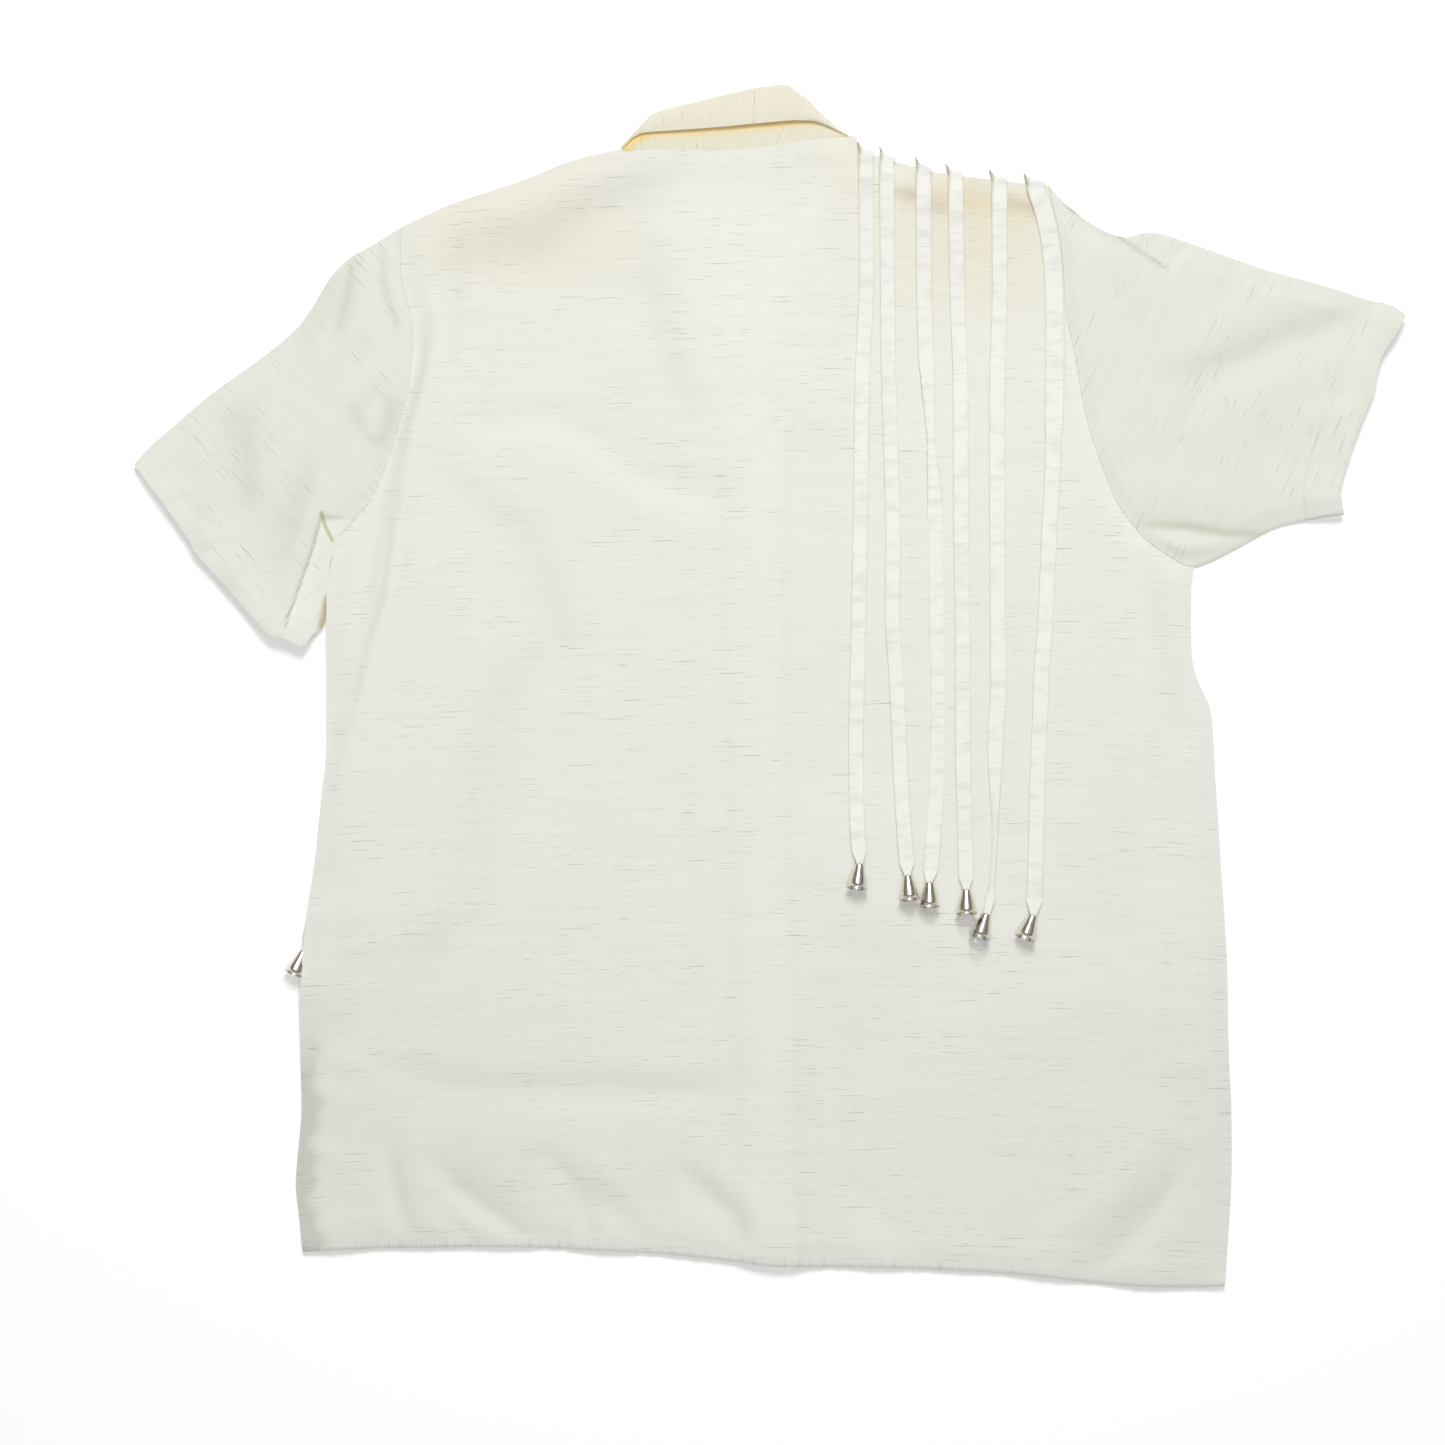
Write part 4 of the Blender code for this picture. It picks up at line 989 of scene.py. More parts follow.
front_left = make_front(
    "left", side_cut(LEFT_SIDE, LEFT_ARMHOLE, FRONT_SIDE_CUTS, FRONT_ARMHOLE_CUTS),
    inner_edge(PLACKET_RIGHT, LEFT_NECKLINE), part_of_hem(-328, 20), LEFT_SHOULDER,
)
front_right = make_front(
    "right", side_cut(RIGHT_SIDE, RIGHT_ARMHOLE, FRONT_SIDE_CUTS, FRONT_ARMHOLE_CUTS),
    inner_edge(PLACKET_LEFT, RIGHT_NECKLINE), part_of_hem(-18, 317), RIGHT_SHOULDER,
)

# %% [markdown]
# ## Sleeves
#
# A sleeve is one piece of cloth sewn into a tube. Laid flat it has an upper and a lower layer
# and a soft fold at each side. The net goes once round the tube, so the folds stay joined.

# %% Sleeve tables
LEFT_SLEEVE_TOP = [
    (-260, 321), (-281, 308), (-295, 300), (-309, 286), (-323, 263), (-337, 246), (-365, 224),
    (-393, 204), (-421, 180), (-435, 167), (-446, 155),
]
LEFT_SLEEVE_UNDER = [(-306.4, 101), (-308.4, 90), (-310, 76), (-311.6, 62), (-311.8, 50), (-313.5, 42)]
LEFT_CUFF = [
    (-446, 155), (-433, 138), (-424, 126), (-407, 102), (-403, 93), (-388, 77), (-363, 48),
    (-350, 35), (-341, 33), (-334, 30), (-327.3, 27.3), (-320, 36), (-313.5, 42),
]
LEFT_SLEEVE_FOLDS = [
    (-2.4, 9, [(-295, 291), (-300, 268), (-309, 249)]),
    (2.2, 11, [(-280, 282), (-290, 250), (-304, 226)]),
    (-2.6, 8, [(-274, 206), (-277, 192), (-281, 176)]),
    (2.4, 12, [(-290, 214), (-312, 176), (-330, 120)]),
    (-2.6, 10, [(-372, 193), (-375, 172), (-370, 128)]),
    (2.4, 13, [(-342, 216), (-352, 180), (-354, 130)]),
    (-2.4, 9, [(-326, 148), (-340, 112), (-352, 84)]),
    (2.4, 9, [(-312, 138), (-326, 108), (-338, 76), (-347, 48)]),
    (2.0, 10, [(-396, 172), (-398, 140), (-404, 112)]),
    (1.6, 6, [(-404, 98), (-396, 104), (-384, 106)]),
    (1.4, 5, [(-424, 132), (-414, 138), (-404, 138)]),
    (-1.6, 5, [(-402, 122), (-395, 112), (-399, 98)]),
    (1.4, 5, [(-378, 92), (-374, 82), (-380, 72)]),
]
LEFT_SLEEVE_LEDGES = [
    (3.0, 60, [(-340.6, 36), (-339, 48), (-334.6, 59.5), (-328.6, 77), (-321, 98.7), (-315, 123)]),
]
LEFT_PINCH = [(-315, 121), (-312.6, 112), (-307.6, 102)]
LEFT_TUCK = [(-311.5, 60), (-313, 50), (-315, 42)]
RIGHT_SLEEVE_TOP = [
    (194, 350), (203, 340), (221, 325), (236, 317), (248, 314), (268, 317), (298, 308), (343, 292),
    (390, 279), (417, 270), (432, 266), (443, 259),
]
RIGHT_SLEEVE_UNDER = [(296, 83), (307, 87), (325, 96), (345, 107), (360, 113), (385, 118), (400, 120)]
RIGHT_CUFF = [
    (443, 259), (435, 244), (428, 233), (424, 222), (421, 206), (415, 191), (408, 174), (404, 162),
    (400, 149), (397, 136), (400, 120),
]
RIGHT_SLEEVE_FOLDS = [
    (-2.2, 13, [(408, 254), (380, 247), (356, 239), (300, 207)]),
    (1.2, 16, [(396, 226), (350, 208), (306, 178)]),
    (1.4, 14, [(400, 276), (350, 266), (296, 240)]),
    (-2.0, 8, [(250, 116), (272, 112), (300, 106), (330, 104)]),
    (1.0, 12, [(252, 142), (290, 136), (336, 128)]),
    (1.4, 5, [(278, 102), (300, 97), (322, 98)]),
    (1.2, 16, [(232, 300), (250, 240), (262, 180)]),
    (-1.0, 12, [(330, 180), (356, 160), (384, 150)]),
    (1.1, 9, [(412, 196), (392, 190), (370, 190)]),
]
RIGHT_SLEEVE_LEDGES = [
    (2.2, 26, [(283, 287), (262, 299), (246, 309), (221, 324), (203, 339)]),
]

# %% Painted shade and cuffs of the sleeves
LEFT_SLEEVE_SHADES = [
    (0.100, 3.4, [(-293, 302), (-297, 272), (-305, 246)]),
    (0.095, 3.2, [(-273, 308), (-270, 276), (-260, 248)]),
    (0.075, 4.4, [(-295, 200), (-284, 178), (-276, 168)]),
    (0.050, 3.5, [(-276, 168), (-268, 182), (-265, 196)]),
    (0.060, 7, [(-262, 204), (-268, 184), (-276, 166)]),
    (0.050, 11, [(-300, 292), (-312, 262), (-330, 236)]),
    (0.055, 10, [(-376, 196), (-376, 160), (-366, 122)]),
    (0.045, 9, [(-326, 150), (-340, 112), (-352, 80)]),
    (0.040, 4, [(-404, 112), (-398, 104), (-394, 92)]),
    (0.035, 4, [(-385, 86), (-378, 78), (-374, 64)]),
    (0.055, 0.9, [(-342, 49), (-331, 48), (-319, 42)]),
    (0.050, 1.0, [(-327, 60), (-318, 68), (-310, 76)]),
    (0.040, 1.0, [(-320, 45), (-312, 58)]),
]
RIGHT_SLEEVE_SHADES = [
    (0.16, 3.0, [(256, 113), (290, 112), (318, 107), (346, 107)]),
    (0.050, 8, [(270, 219), (331, 236), (399, 261), (424, 265)]),
    (0.34, 0.9, [(203, 337), (238, 318), (279, 291)]),
    (0.020, 12, [(222, 300), (252, 276), (262, 250)]),
]
# Each row is how high the cuff stands, how far that reaches, and where across and up the shirt.
LEFT_CUFF_LIFT = [(2.6, 60, -425, 128), (5.0, 42, -340, 30), (2.0, 60, -385, 75)]
RIGHT_CUFF_LIFT = [(5.0, 34, 442, 258), (2.2, 50, 420, 200), (5.0, 42, 400, 122)]

# %% Sleeves as tubes
SLEEVE_LOFT = 2.0
SLEEVE_CLOTH = 0.5
SLEEVE_ROWS = 132
SLEEVE_COLUMNS = 112
UNDER_COLUMNS = 28
CUFF_HEM = 25.0
SLEEVE_SEAM_GAP = 0.1
SIDE_FOLD_IN = 0.7
SIDE_FOLD_DROP = 0.55
# The warm colour of the sleeves' painted shade, and two painted shadows: in the pinch at the left sleeve's
# notch, and in the gap where it tucks under the body.
SHADE_COLOUR = np.array([1.0, 1.08, 1.4])
PINCH_SHADOW = (0.62, 0.57, 0.42)
TUCK_SHADOW = (0.66, 0.58, 0.40)


def seam_beside(armhole, outwards, steps):
    """The armhole's line from the shoulder down, moved a hair's breadth out from the body."""
    seam = even_cut(armhole, steps)[::-1]
    way = np.gradient(seam, axis=0)
    normal = np.stack([way[:, 1], -way[:, 0]], axis=1) * outwards
    return seam + normal / np.linalg.norm(normal, axis=1)[:, None] * SLEEVE_SEAM_GAP


def cuff_lift(x, y, cuff_gap, table):
    """How far a free cuff stands up from the floor, from its table of rows."""
    lifts = [
        height * np.exp(-((np.hypot(x - at_x, y - at_y) / reach) ** 2)) for height, reach, at_x, at_y in table
    ]
    return np.exp(-((cuff_gap / 30) ** 2)) * np.maximum.reduce(lifts)


def sleeve_cuts(total):
    """Rows along a sleeve, closer together at the hem's upper edge and at the cuff."""
    start = 1 - CUFF_HEM / total
    body_rows = np.linspace(0, start - 0.012, SLEEVE_ROWS - 22)
    hem_rows = np.linspace(start - 0.006, start + 0.012, 7)
    end_rows = np.linspace(start + 0.024, 1, 15)
    return np.concatenate([body_rows, hem_rows, end_rows])


# %% [markdown]
# In plan a sleeve is ruled between its armhole, its cuff and its two side folds. The left one
# tucks its lower end under the body.

# %% Plan of a sleeve


def sleeve_plan(armhole, outwards, tucked, top_edge, under_edge, cuff):
    """A sleeve's upper layer in plan, with its seam and its two side folds."""
    seam = seam_beside(armhole, outwards, SLEEVE_COLUMNS)
    head = len(seam) - tucked
    top = smooth_line([tuple(seam[0])] + top_edge[1:])
    under = smooth_line([tuple(seam[-1])] + under_edge[1:])
    if tucked:
        under = joined(seam[head - 1:], under)
    cuts = sleeve_cuts(run_of(top)[-1])
    sides = (cut_line(top, cuts), cut_line(under, cuts))
    across = np.linspace(0, 1, SLEEVE_COLUMNS + 1)
    return patch(cut_line(seam[:head], across), even_cut(cuff, SLEEVE_COLUMNS), *sides), seam, sides


# %% [markdown]
# The upper layer has the folds. The lower one lies flat, and one point at each side joins
# them, which makes the soft fold there. At the cuff both stand up from the floor together.

# %% Heights of a sleeve


def sleeve_net(plan, seam, sides, cuff_line, folds, ledges, lifts):
    """The ring of points at each row: the upper layer, a side fold, the lower layer, a side fold."""
    x = plan[..., 0]
    y = plan[..., 1]
    edge = np.minimum(*[nearest_on(x, y, side)[0] for side in sides])
    cuff_gap = nearest_on(x, y, cuff_line)[0]
    fade = ease(edge / 16) * ease(nearest_on(x, y, seam)[0] / 9)
    level = FRONT_LEVEL + CLOTH + LAYER_GAP + CLOTH
    loft = fade * np.maximum(SLEEVE_LOFT + folds_at(x, y, folds), 0.0)
    drop = ledges_at(x, y, ledges) * ease(edge / 3)
    hem = 0.5 * ease((CUFF_HEM + 0.8 - cuff_gap) / 1.6)
    wave = ripples_along(x + y) * np.exp(-((cuff_gap / 18) ** 2))
    free = cuff_lift(x, y, cuff_gap, lifts)
    height = np.maximum(level + loft + drop + hem + wave, level) + free
    rounding = SIDE_FOLD_DROP * (1 - ease(edge / 3.0)) ** 2
    back_again = np.linspace(SLEEVE_COLUMNS, 0, UNDER_COLUMNS + 1).astype(int)
    upper = np.stack([x, y, height - rounding], axis=-1)
    lower = np.concatenate([plan[:, back_again], (FRONT_LEVEL + free[:, back_again])[..., None]], axis=-1)
    ends = []
    for column, beside_it in ((0, 1), (-1, -2)):
        inwards = plan[:, beside_it] - plan[:, column]
        inwards = inwards / np.linalg.norm(inwards, axis=1)[:, None] * SIDE_FOLD_IN
        upper[:, column, :2] += inwards
        lower[:, -1 - column, :2] += inwards
        middle = (level + FRONT_LEVEL) / 2 + free[:, [column]]
        ends.append(np.concatenate([plan[:, column], middle], axis=-1)[:, None])
    return np.concatenate([upper, ends[1], lower, ends[0]], axis=1)


# %% Tone of a sleeve


def sleeve_tone(x, y, seam, cuff_line, shades, ledges, tucked, tint):
    """Tone of a sleeve: its hem's stitches, its seam, its painted shade, and its folded edge with painted
    shade and shadows.
    """
    tone = np.ones((*x.shape, 3)) * np.array(tint)
    stitches = np.exp(-(((nearest_on(x, y, cuff_line)[0] - CUFF_HEM) / 1.1) ** 2))
    tone = dyed(dyed(tone, stitches, 0.965), beside(x, y, seam, 2.2), 0.982)
    # Painted shade in the sleeve's creases and folds.
    for shade in shades_at(x, y, shades):
        tone = tone * (1 - shade[..., None] * SHADE_COLOUR)
    for _, _, route in ledges:
        gap, share, side = nearest_on(x, y, route)
        along_edge = ease(share * 5) * ease((1 - share) * 8)
        # A painted shade line along each folded edge.
        tone = dyed(tone, np.exp(-((gap / 1.7) ** 2)) * along_edge, 0.925)
        # On the tucked sleeve the layer beyond its edge is lighter, and painted shadows darken the pinch at
        # the notch and the gap where it tucks under the body.
        if tucked:
            tone = dyed(tone, ease((30 - gap) / 8) * along_edge * (side > 0), 1.045)
            tone = dyed(tone, beside(x, y, LEFT_PINCH, 1.1), PINCH_SHADOW)
            tone = dyed(tone, beside(x, y, LEFT_TUCK, 2.8), TUCK_SHADOW)
    return tone


# %% Make both sleeves


def make_sleeve(side, armhole, outwards, tucked, edges, folds, ledges, shades, lifts, grain_turn, tint):
    """One sleeve as a closed tube from the armhole to the cuff."""
    cuff_line = smooth_line(edges[-1], 3)
    plan, seam, sides = sleeve_plan(armhole, outwards, tucked, *edges)
    net = sleeve_net(plan, seam, sides, cuff_line, folds, ledges, lifts)
    x = net[..., 0]
    y = net[..., 1]
    tone = sleeve_tone(x, y, seam, cuff_line, shades, ledges, tucked, tint)
    at_cuff = beside(x, y, cuff_line, 4.0) * 0.6
    drawn = np.stack([at_cuff, np.zeros(at_cuff.shape)], axis=-1)
    net, grain, tone, drawn = [part[:, ::-1] for part in (net, grain_map(x, y, grain_turn), tone, drawn)]
    tube = shell(f"sleeve_{side}_tube", net, grain, tone, SLEEVE_CLOTH, shirt_cloth, ring=True, drawn=drawn)
    return place_piece(tube, "cloth", "sleeve_" + side)


sleeve_left = make_sleeve(
    "left", LEFT_ARMHOLE, 1, 14, (LEFT_SLEEVE_TOP, LEFT_SLEEVE_UNDER, LEFT_CUFF), LEFT_SLEEVE_FOLDS,
    LEFT_SLEEVE_LEDGES, LEFT_SLEEVE_SHADES, LEFT_CUFF_LIFT, grain_turn=-46, tint=(0.955, 0.96, 0.94),
)
sleeve_right = make_sleeve(
    "right", RIGHT_ARMHOLE, -1, 0, (RIGHT_SLEEVE_TOP, RIGHT_SLEEVE_UNDER, RIGHT_CUFF), RIGHT_SLEEVE_FOLDS,
    RIGHT_SLEEVE_LEDGES, RIGHT_SLEEVE_SHADES, RIGHT_CUFF_LIFT, grain_turn=66, tint=(0.96, 0.955, 0.945),
)

# %% [markdown]
# ## Collar
#
# The collar is sewn to the neck, stands up, folds over and falls back towards its seam. From
# above it shows as the fall, a dark warm gap below its edge with a painted golden shadow, and a
# strip of the stand.

# %% Collar
COLLAR_SEAM_X = (-99, -92, -84, -56, -28, 2, 20, 34, 46, 54)
COLLAR_FOLD = [
    (-106, 376.2), (-96, 387.5), (-82.5, 401), (-37.5, 412.5), (-15, 418), (11.2, 421), (26, 409.5),
    (36, 399), (46, 390.5), (53.5, 385.8),
]
COLLAR_FALL = [
    (-105.4, 375.6), (-98, 382.6), (-91, 387), (-57.8, 389.2), (-32.5, 391.3), (-7, 393.8), (15, 395.6),
    (30, 395.2), (41, 390.6), (52.6, 384.8),
]
COLLAR_LOOP = [1.4, 2.8, 4.0, 4.6, 4.8, 4.8, 4.6, 4.0, 2.6, 1.6]
SEAM_TUCK = 0.8
SEAM_SINK = 0.08
COLLAR_STEPS = 90
STAND_CUTS = 12
TURN_CUTS = 9
FALL_CUTS = 12
COLLAR_CLOTH = 0.7
STAND_TONE = (0.97, 0.925, 0.80)
FALL_TONE = (0.985, 0.945, 0.84)
# A painted golden shadow on the stand, just below the fall's edge.
GOLDEN_SHADOW = (1.16, 0.87, 0.40)


def soften(line, passes):
    """Takes the kinks out of a line without moving its ends."""
    for _ in range(passes):
        line[1:-1] = (line[:-2] + 2 * line[1:-1] + line[2:]) / 4
    return line


def collar_lines():
    """The three lines of the collar, with corners kept, and its loop's height along them."""
    shares = np.linspace(0, 1, COLLAR_STEPS + 1) * (len(COLLAR_SEAM_X) - 1)
    knots = np.arange(len(COLLAR_SEAM_X))
    neck = smooth_line(BACK_NECK)
    seam = [(x, np.interp(x, neck[:, 0], neck[:, 1]) - SEAM_TUCK) for x in COLLAR_SEAM_X]
    lines = []
    for table, passes in ((seam, 0), (COLLAR_FOLD, 3), (COLLAR_FALL, 6)):
        spots = np.array(table)
        line = np.stack([np.interp(shares, knots, spots[:, axis]) for axis in (0, 1)], axis=1)
        lines.append(soften(line, passes))
    return *lines, np.interp(shares, knots, COLLAR_LOOP)


# %% Profile of the collar


def collar_row(seam_point, fold_point, fall_point, loop):
    """Up the stand, round the turn and down the fall, with a last column that tells them apart."""
    way = fold_point - seam_point
    size = np.hypot(*way)
    way = way / size
    radius = min(loop / 2, size * 0.35)
    foot = float(back_bottom(*seam_point)) - SEAM_SINK
    bend = fold_point - way * radius
    row = []
    for part in np.linspace(0, 1, STAND_CUTS):
        spot = seam_point + (bend - seam_point) * part
        row.append((*spot, foot + 0.5 * math.sin(part * math.pi), part * 0.45))
    for part in np.linspace(0, 1, TURN_CUTS)[1:]:
        spot = bend + way * radius * math.sin(part * math.pi)
        row.append((*spot, foot + radius * (1 - math.cos(part * math.pi)), 0.45 + part * 0.1))
    for part in np.linspace(0, 1, FALL_CUTS)[1:]:
        spot = bend + (fall_point - bend) * part
        lift = 0.7 * math.sin(part * math.pi) - 0.5 * part
        row.append((*spot, foot + radius * 2 + lift, 0.55 + part * 0.45))
    return np.array(row)


# %% Make the collar
collar_net = []
collar_map = []
collar_tone = []
for *points, loop in zip(*collar_lines()):
    row = collar_row(*points, loop)
    on_stand = row[:, 3] < 0.5
    # Painted golden shadow on the stand, just below the fall's edge.
    shadow_under_fall = np.exp(-(((row[:, 1] - points[-1][1] - 1.4) / 4.2) ** 2)) * on_stand
    tone = np.where(on_stand[:, None], [STAND_TONE], [FALL_TONE])
    collar_net.append(row[:, :3])
    collar_map.append(np.stack([run_of(row[:, :3]), row[:, 0]], axis=1) * MM)
    collar_tone.append(dyed(tone, shadow_under_fall, GOLDEN_SHADOW))
collar = shell(
    "collar_back", np.array(collar_net), np.array(collar_map), np.array(collar_tone), COLLAR_CLOTH,
    shirt_cloth,
)
place_piece(collar, "cloth", "collar")

# %% [markdown]
# ## Straps
#
# Each strap is a flat ribbon of doubled cloth, sewn into the shoulder seam, turned over its
# edge and laid down the back. The third one folds over along its length, and the fifth rolls
# onto its edge before it reaches its bell.

# %% Strap routes and widths
STRAP_WIDTHS = {"1": 9.8, "2": 9.8, "3": 10.2, "4": 10.0, "5": 10.4, "6": 12.4, "7": 10.0}
STRAP_END_WIDTH = 4.8
STRAP_CLOTH = 0.7
STRAP_ROUTES = {
    "1": [(66.5, 354), (66.5, 298), (66, 270), (63.4, 214), (62.3, 130), (60.9, 46), (59.5, -10),
          (58.9, -55), (59.9, -101), (61.2, -116)],
    "2": [(80.5, 354), (81.2, 270), (81.9, 214), (84, 148), (85, 102), (84.7, 46), (86.8, 13),
          (88.6, -21), (90.4, -66), (92.4, -100), (94.3, -124)],
    "3": [(106, 354), (106.8, 270), (108.5, 221), (111.5, 170), (114, 128), (115.2, 90), (115.5, 46),
          (116.6, -10), (115.5, -66), (113.6, -100), (111, -129)],
    "4": [(128, 354), (130, 270), (132, 214), (132.6, 113), (133.4, 46), (134, -55), (135, -88),
          (135.9, -134)],
    "5": [(160, 354), (159.6, 270), (158, 214), (157.9, 102), (158.6, -3), (156.6, -32), (156.4, -76),
          (156, -112), (153.2, -148)],
    "6": [(184, 346), (192, 326), (196, 302), (197.8, 270), (198, 214), (196.7, 158), (193.5, 92),
          (191.5, 46), (189, 13), (188, -15), (186, -66), (184.5, -129), (183.6, -150)],
}
STRAP_ROOTS = {"1": 67, "2": 81, "3": 106, "4": 128, "5": 160, "6": 184}
# Where along the shirt a change starts and ends, and how large it is at its most.
STRAP_FOLD_OVER = {"3": (222, 128)}
STRAP_NARROW = {"5": (-34, -112, 0.66), "6": (186, 170, 0.18)}
STRAP_ROLL = {"5": (-34, -112, 30)}
LOOP_ROWS = 9
SPIKE = 4.6
# Where each bell's top end and its mouth lie.
BELLS = {
    "1": ((61.3, -125), (59.4, -141)), "2": ((94.9, -133), (96.2, -149)),
    "3": ((110.2, -138), (110.0, -154)), "4": ((136.0, -143), (136.0, -159)),
    "5": ((150.0, -160), (145.2, -175)), "6": ((182.5, -161), (176.9, -176)),
    "7": ((-327.6, -186.5), (-333.8, -201.5)),
}
BELL_LENGTH = 16.6
BELL_TOP_RADIUS = 2.9
BELL_MOUTH_RADIUS = 6.7
BELL_LEAN = math.asin((BELL_MOUTH_RADIUS - BELL_TOP_RADIUS) / BELL_LENGTH)


def bell_rest(name):
    """The height that a bell lies on: its solid's own lowest point."""
    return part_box("bell_" + name)[0][2] / MM


def bell_frame(name):
    """A lying bell's top end and axis in millimetres."""
    top, mouth = (np.array(spot, dtype=float) for spot in BELLS[name])
    heading = (mouth - top) / np.hypot(*(mouth - top))
    start = np.array([*top, bell_rest(name) + BELL_TOP_RADIUS * math.cos(BELL_LEAN)])
    axis = np.array([*(heading * math.cos(BELL_LEAN)), math.sin(BELL_LEAN)])
    return start, axis


# %% Strap shapes
STRAP_COLUMNS = 13
STRAP_STEP = 2.4
# Painted shade along each strap's edges, and deeper painted shade on the turned edge where a strap comes out
# of the seam.
STRAP_EDGE_SHADE = (0.985, 0.975, 0.93)
TURNED_EDGE_SHADE = (0.66, 0.60, 0.49)
HIGH_STRAP_TONE = 0.965
MAP_SHIFT = 53
# Each row is how far the loop has gone out beyond the seam, and its height.
LOOP = (
    (0.3, 0.6), (0.8, 0.6), (1.3, 0.7), (1.7, 1.0), (1.9, 1.5), (1.8, 2.1), (1.4, 2.6), (0.8, 2.8),
    (0.2, 2.9),
)


def strap_section(width, fold_share, roll, gather):
    """One cross section: sideways and upwards offsets of the ribbon's points."""
    c = np.linspace(0, 1, STRAP_COLUMNS)
    side = np.where(c < fold_share, 2 * fold_share - c, c) * width
    side = side - (fold_share * width + max(1.0, 2 * fold_share) * width) / 2
    lift = 1.15 * ease((fold_share - c) * 9 + 0.5) if 0 < fold_share < 1 else np.zeros(STRAP_COLUMNS)
    crown = 0.25 * (1 - (2 * c - 1) ** 2) + gather * 0.9 * np.cos(c * 4 * math.pi)
    turned = math.radians(roll)
    up = lift + crown + side * math.sin(turned) + abs(math.sin(turned)) * width / 2
    return side * math.cos(turned), up


# %% [markdown]
# The section is carried along the strap's path. Each one stands square to the path, and the
# corner at the shoulder seam is pulled up into a small spike.

# %% Net of a strap


def strap_net(path, slants, sections):
    """The ribbon's points: each section stands square to the path and lies level across it."""
    rows = []
    for number, (spot, slant) in enumerate(zip(path, slants)):
        along_way = path[min(number + 1, len(path) - 1)] - path[max(number - 1, 0)]
        along_way = along_way / np.linalg.norm(along_way)
        level = np.array([math.cos(slant), math.sin(slant), 0.0])
        level = level - along_way * level.dot(along_way)
        level = level / np.linalg.norm(level)
        rise = np.cross(level, -along_way)
        if rise[2] <= 0 and number >= LOOP_ROWS - 1:
            rise = -rise
        side, up = strap_section(*sections[number])
        rows.append(spot + side[:, None] * level + up[:, None] * rise)
    return np.array(rows)


def pull_spike(net, slant):
    """The ribbon's left corner stands up out of the shoulder seam as a small spike."""
    out = np.array([-math.sin(slant), math.cos(slant), 0.0])
    lean = out - np.array([math.cos(slant), math.sin(slant), 0.0]) * 0.7
    for number in range(LOOP_ROWS):
        peak = SPIKE * math.sin(math.pi * number / (LOOP_ROWS - 1))
        net[number, 0] += lean * peak
        net[number, 1] += lean * peak * 0.3


# %% Make one strap


def make_strap(name, path, slants, sections):
    """A ribbon along a path, with painted shade along its edges and on the turned edge of those that come out
    of the seam.
    """
    net = strap_net(path, slants, sections)
    run = run_of(path)
    c = np.linspace(0, 1, STRAP_COLUMNS)[None, :]
    width = STRAP_WIDTHS[name]
    across = (c - 0.5) * width + float(name) * MAP_SHIFT
    grain = np.stack(np.broadcast_arrays(across, run[:, None]), axis=-1) * MM
    # Painted shade along the strap's edges.
    edge = np.exp(-((np.minimum(c, 1 - c) * width / 0.9) ** 2))
    tone = dyed(np.ones(net.shape), edge, STRAP_EDGE_SHADE)
    if name in STRAP_ROOTS:
        pull_spike(net, slants[0])
        # Painted shade on the turned edge at the seam.
        turned_edge_shade = np.exp(-((run[:, None] / 16) ** 2) - (c * width / 1.2) ** 2)
        tone = dyed(tone, turned_edge_shade, TURNED_EDGE_SHADE)
    tone = dyed(tone, ease((net[:, :, 1] - 190) / 130), HIGH_STRAP_TONE)
    piece = shell("strap_cloth_" + name, net, grain, tone, STRAP_CLOTH, strap_cloth)
    return place_piece(piece, "strap", "strap_" + name), run[-1]


# %% [markdown]
# The path starts under the shoulder seam, loops over it, rides on the back's folds and ends
# inside its bell.

# %% Path of a strap


def strap_path(name):
    """The upper face of a strap's middle line, from its root in the seam to inside its bell."""
    shoulder = smooth_line(RIGHT_SHOULDER)
    nearest = int(np.argmin(np.abs(shoulder[:, 0] - STRAP_ROOTS[name])))
    seam_way = shoulder[min(nearest + 1, len(shoulder) - 1)] - shoulder[nearest - 1]
    seam_way = seam_way / np.hypot(*seam_way)
    out = np.array([-seam_way[1], seam_way[0]])
    root = shoulder[nearest]
    base = float(under_back(root[0], root[1] - 2)) + 0.4
    path = [np.array([*(root + out * gone), base + height]) for gone, height in LOOP]
    slants = [math.atan2(seam_way[1], seam_way[0])] * len(path)
    route = smooth_line([tuple(root - out * 3)] + STRAP_ROUTES[name][1:])
    spots = cut_line(route, np.linspace(0, 1, int(run_of(route)[-1] / STRAP_STEP)))
    x, y = spots.T
    heights = np.maximum.reduce([back_top(x + side, y) for side in (-5.5, 0.0, 5.5)])
    wrinkles = 0.25 * np.sin(y / 23 + float(name)) * np.sin(y / 9.0 + 2 * float(name))
    ride_height = heights + STRAP_CLOTH + 0.3 + np.maximum(wrinkles, -0.2)
    ride_height = ride_height + np.linspace(1.0, 0, len(spots)) ** 20 * 0.8
    start, axis = bell_frame(name)
    settle = ease((run_of(spots)[-1] - run_of(spots)) / 34)
    ride_height = ride_height * settle + (start[2] - 0.8) * (1 - settle)
    path += [np.array([*spot, height]) for spot, height in zip(spots, ride_height)]
    path += [start + axis * past + np.array([0, 0, 0.45]) for past in (-2.0, 0.0, 2.5)]
    slants += [0.0] * (len(path) - len(slants))
    return np.array(path), slants


# %% Widths, folds and rolls of a strap


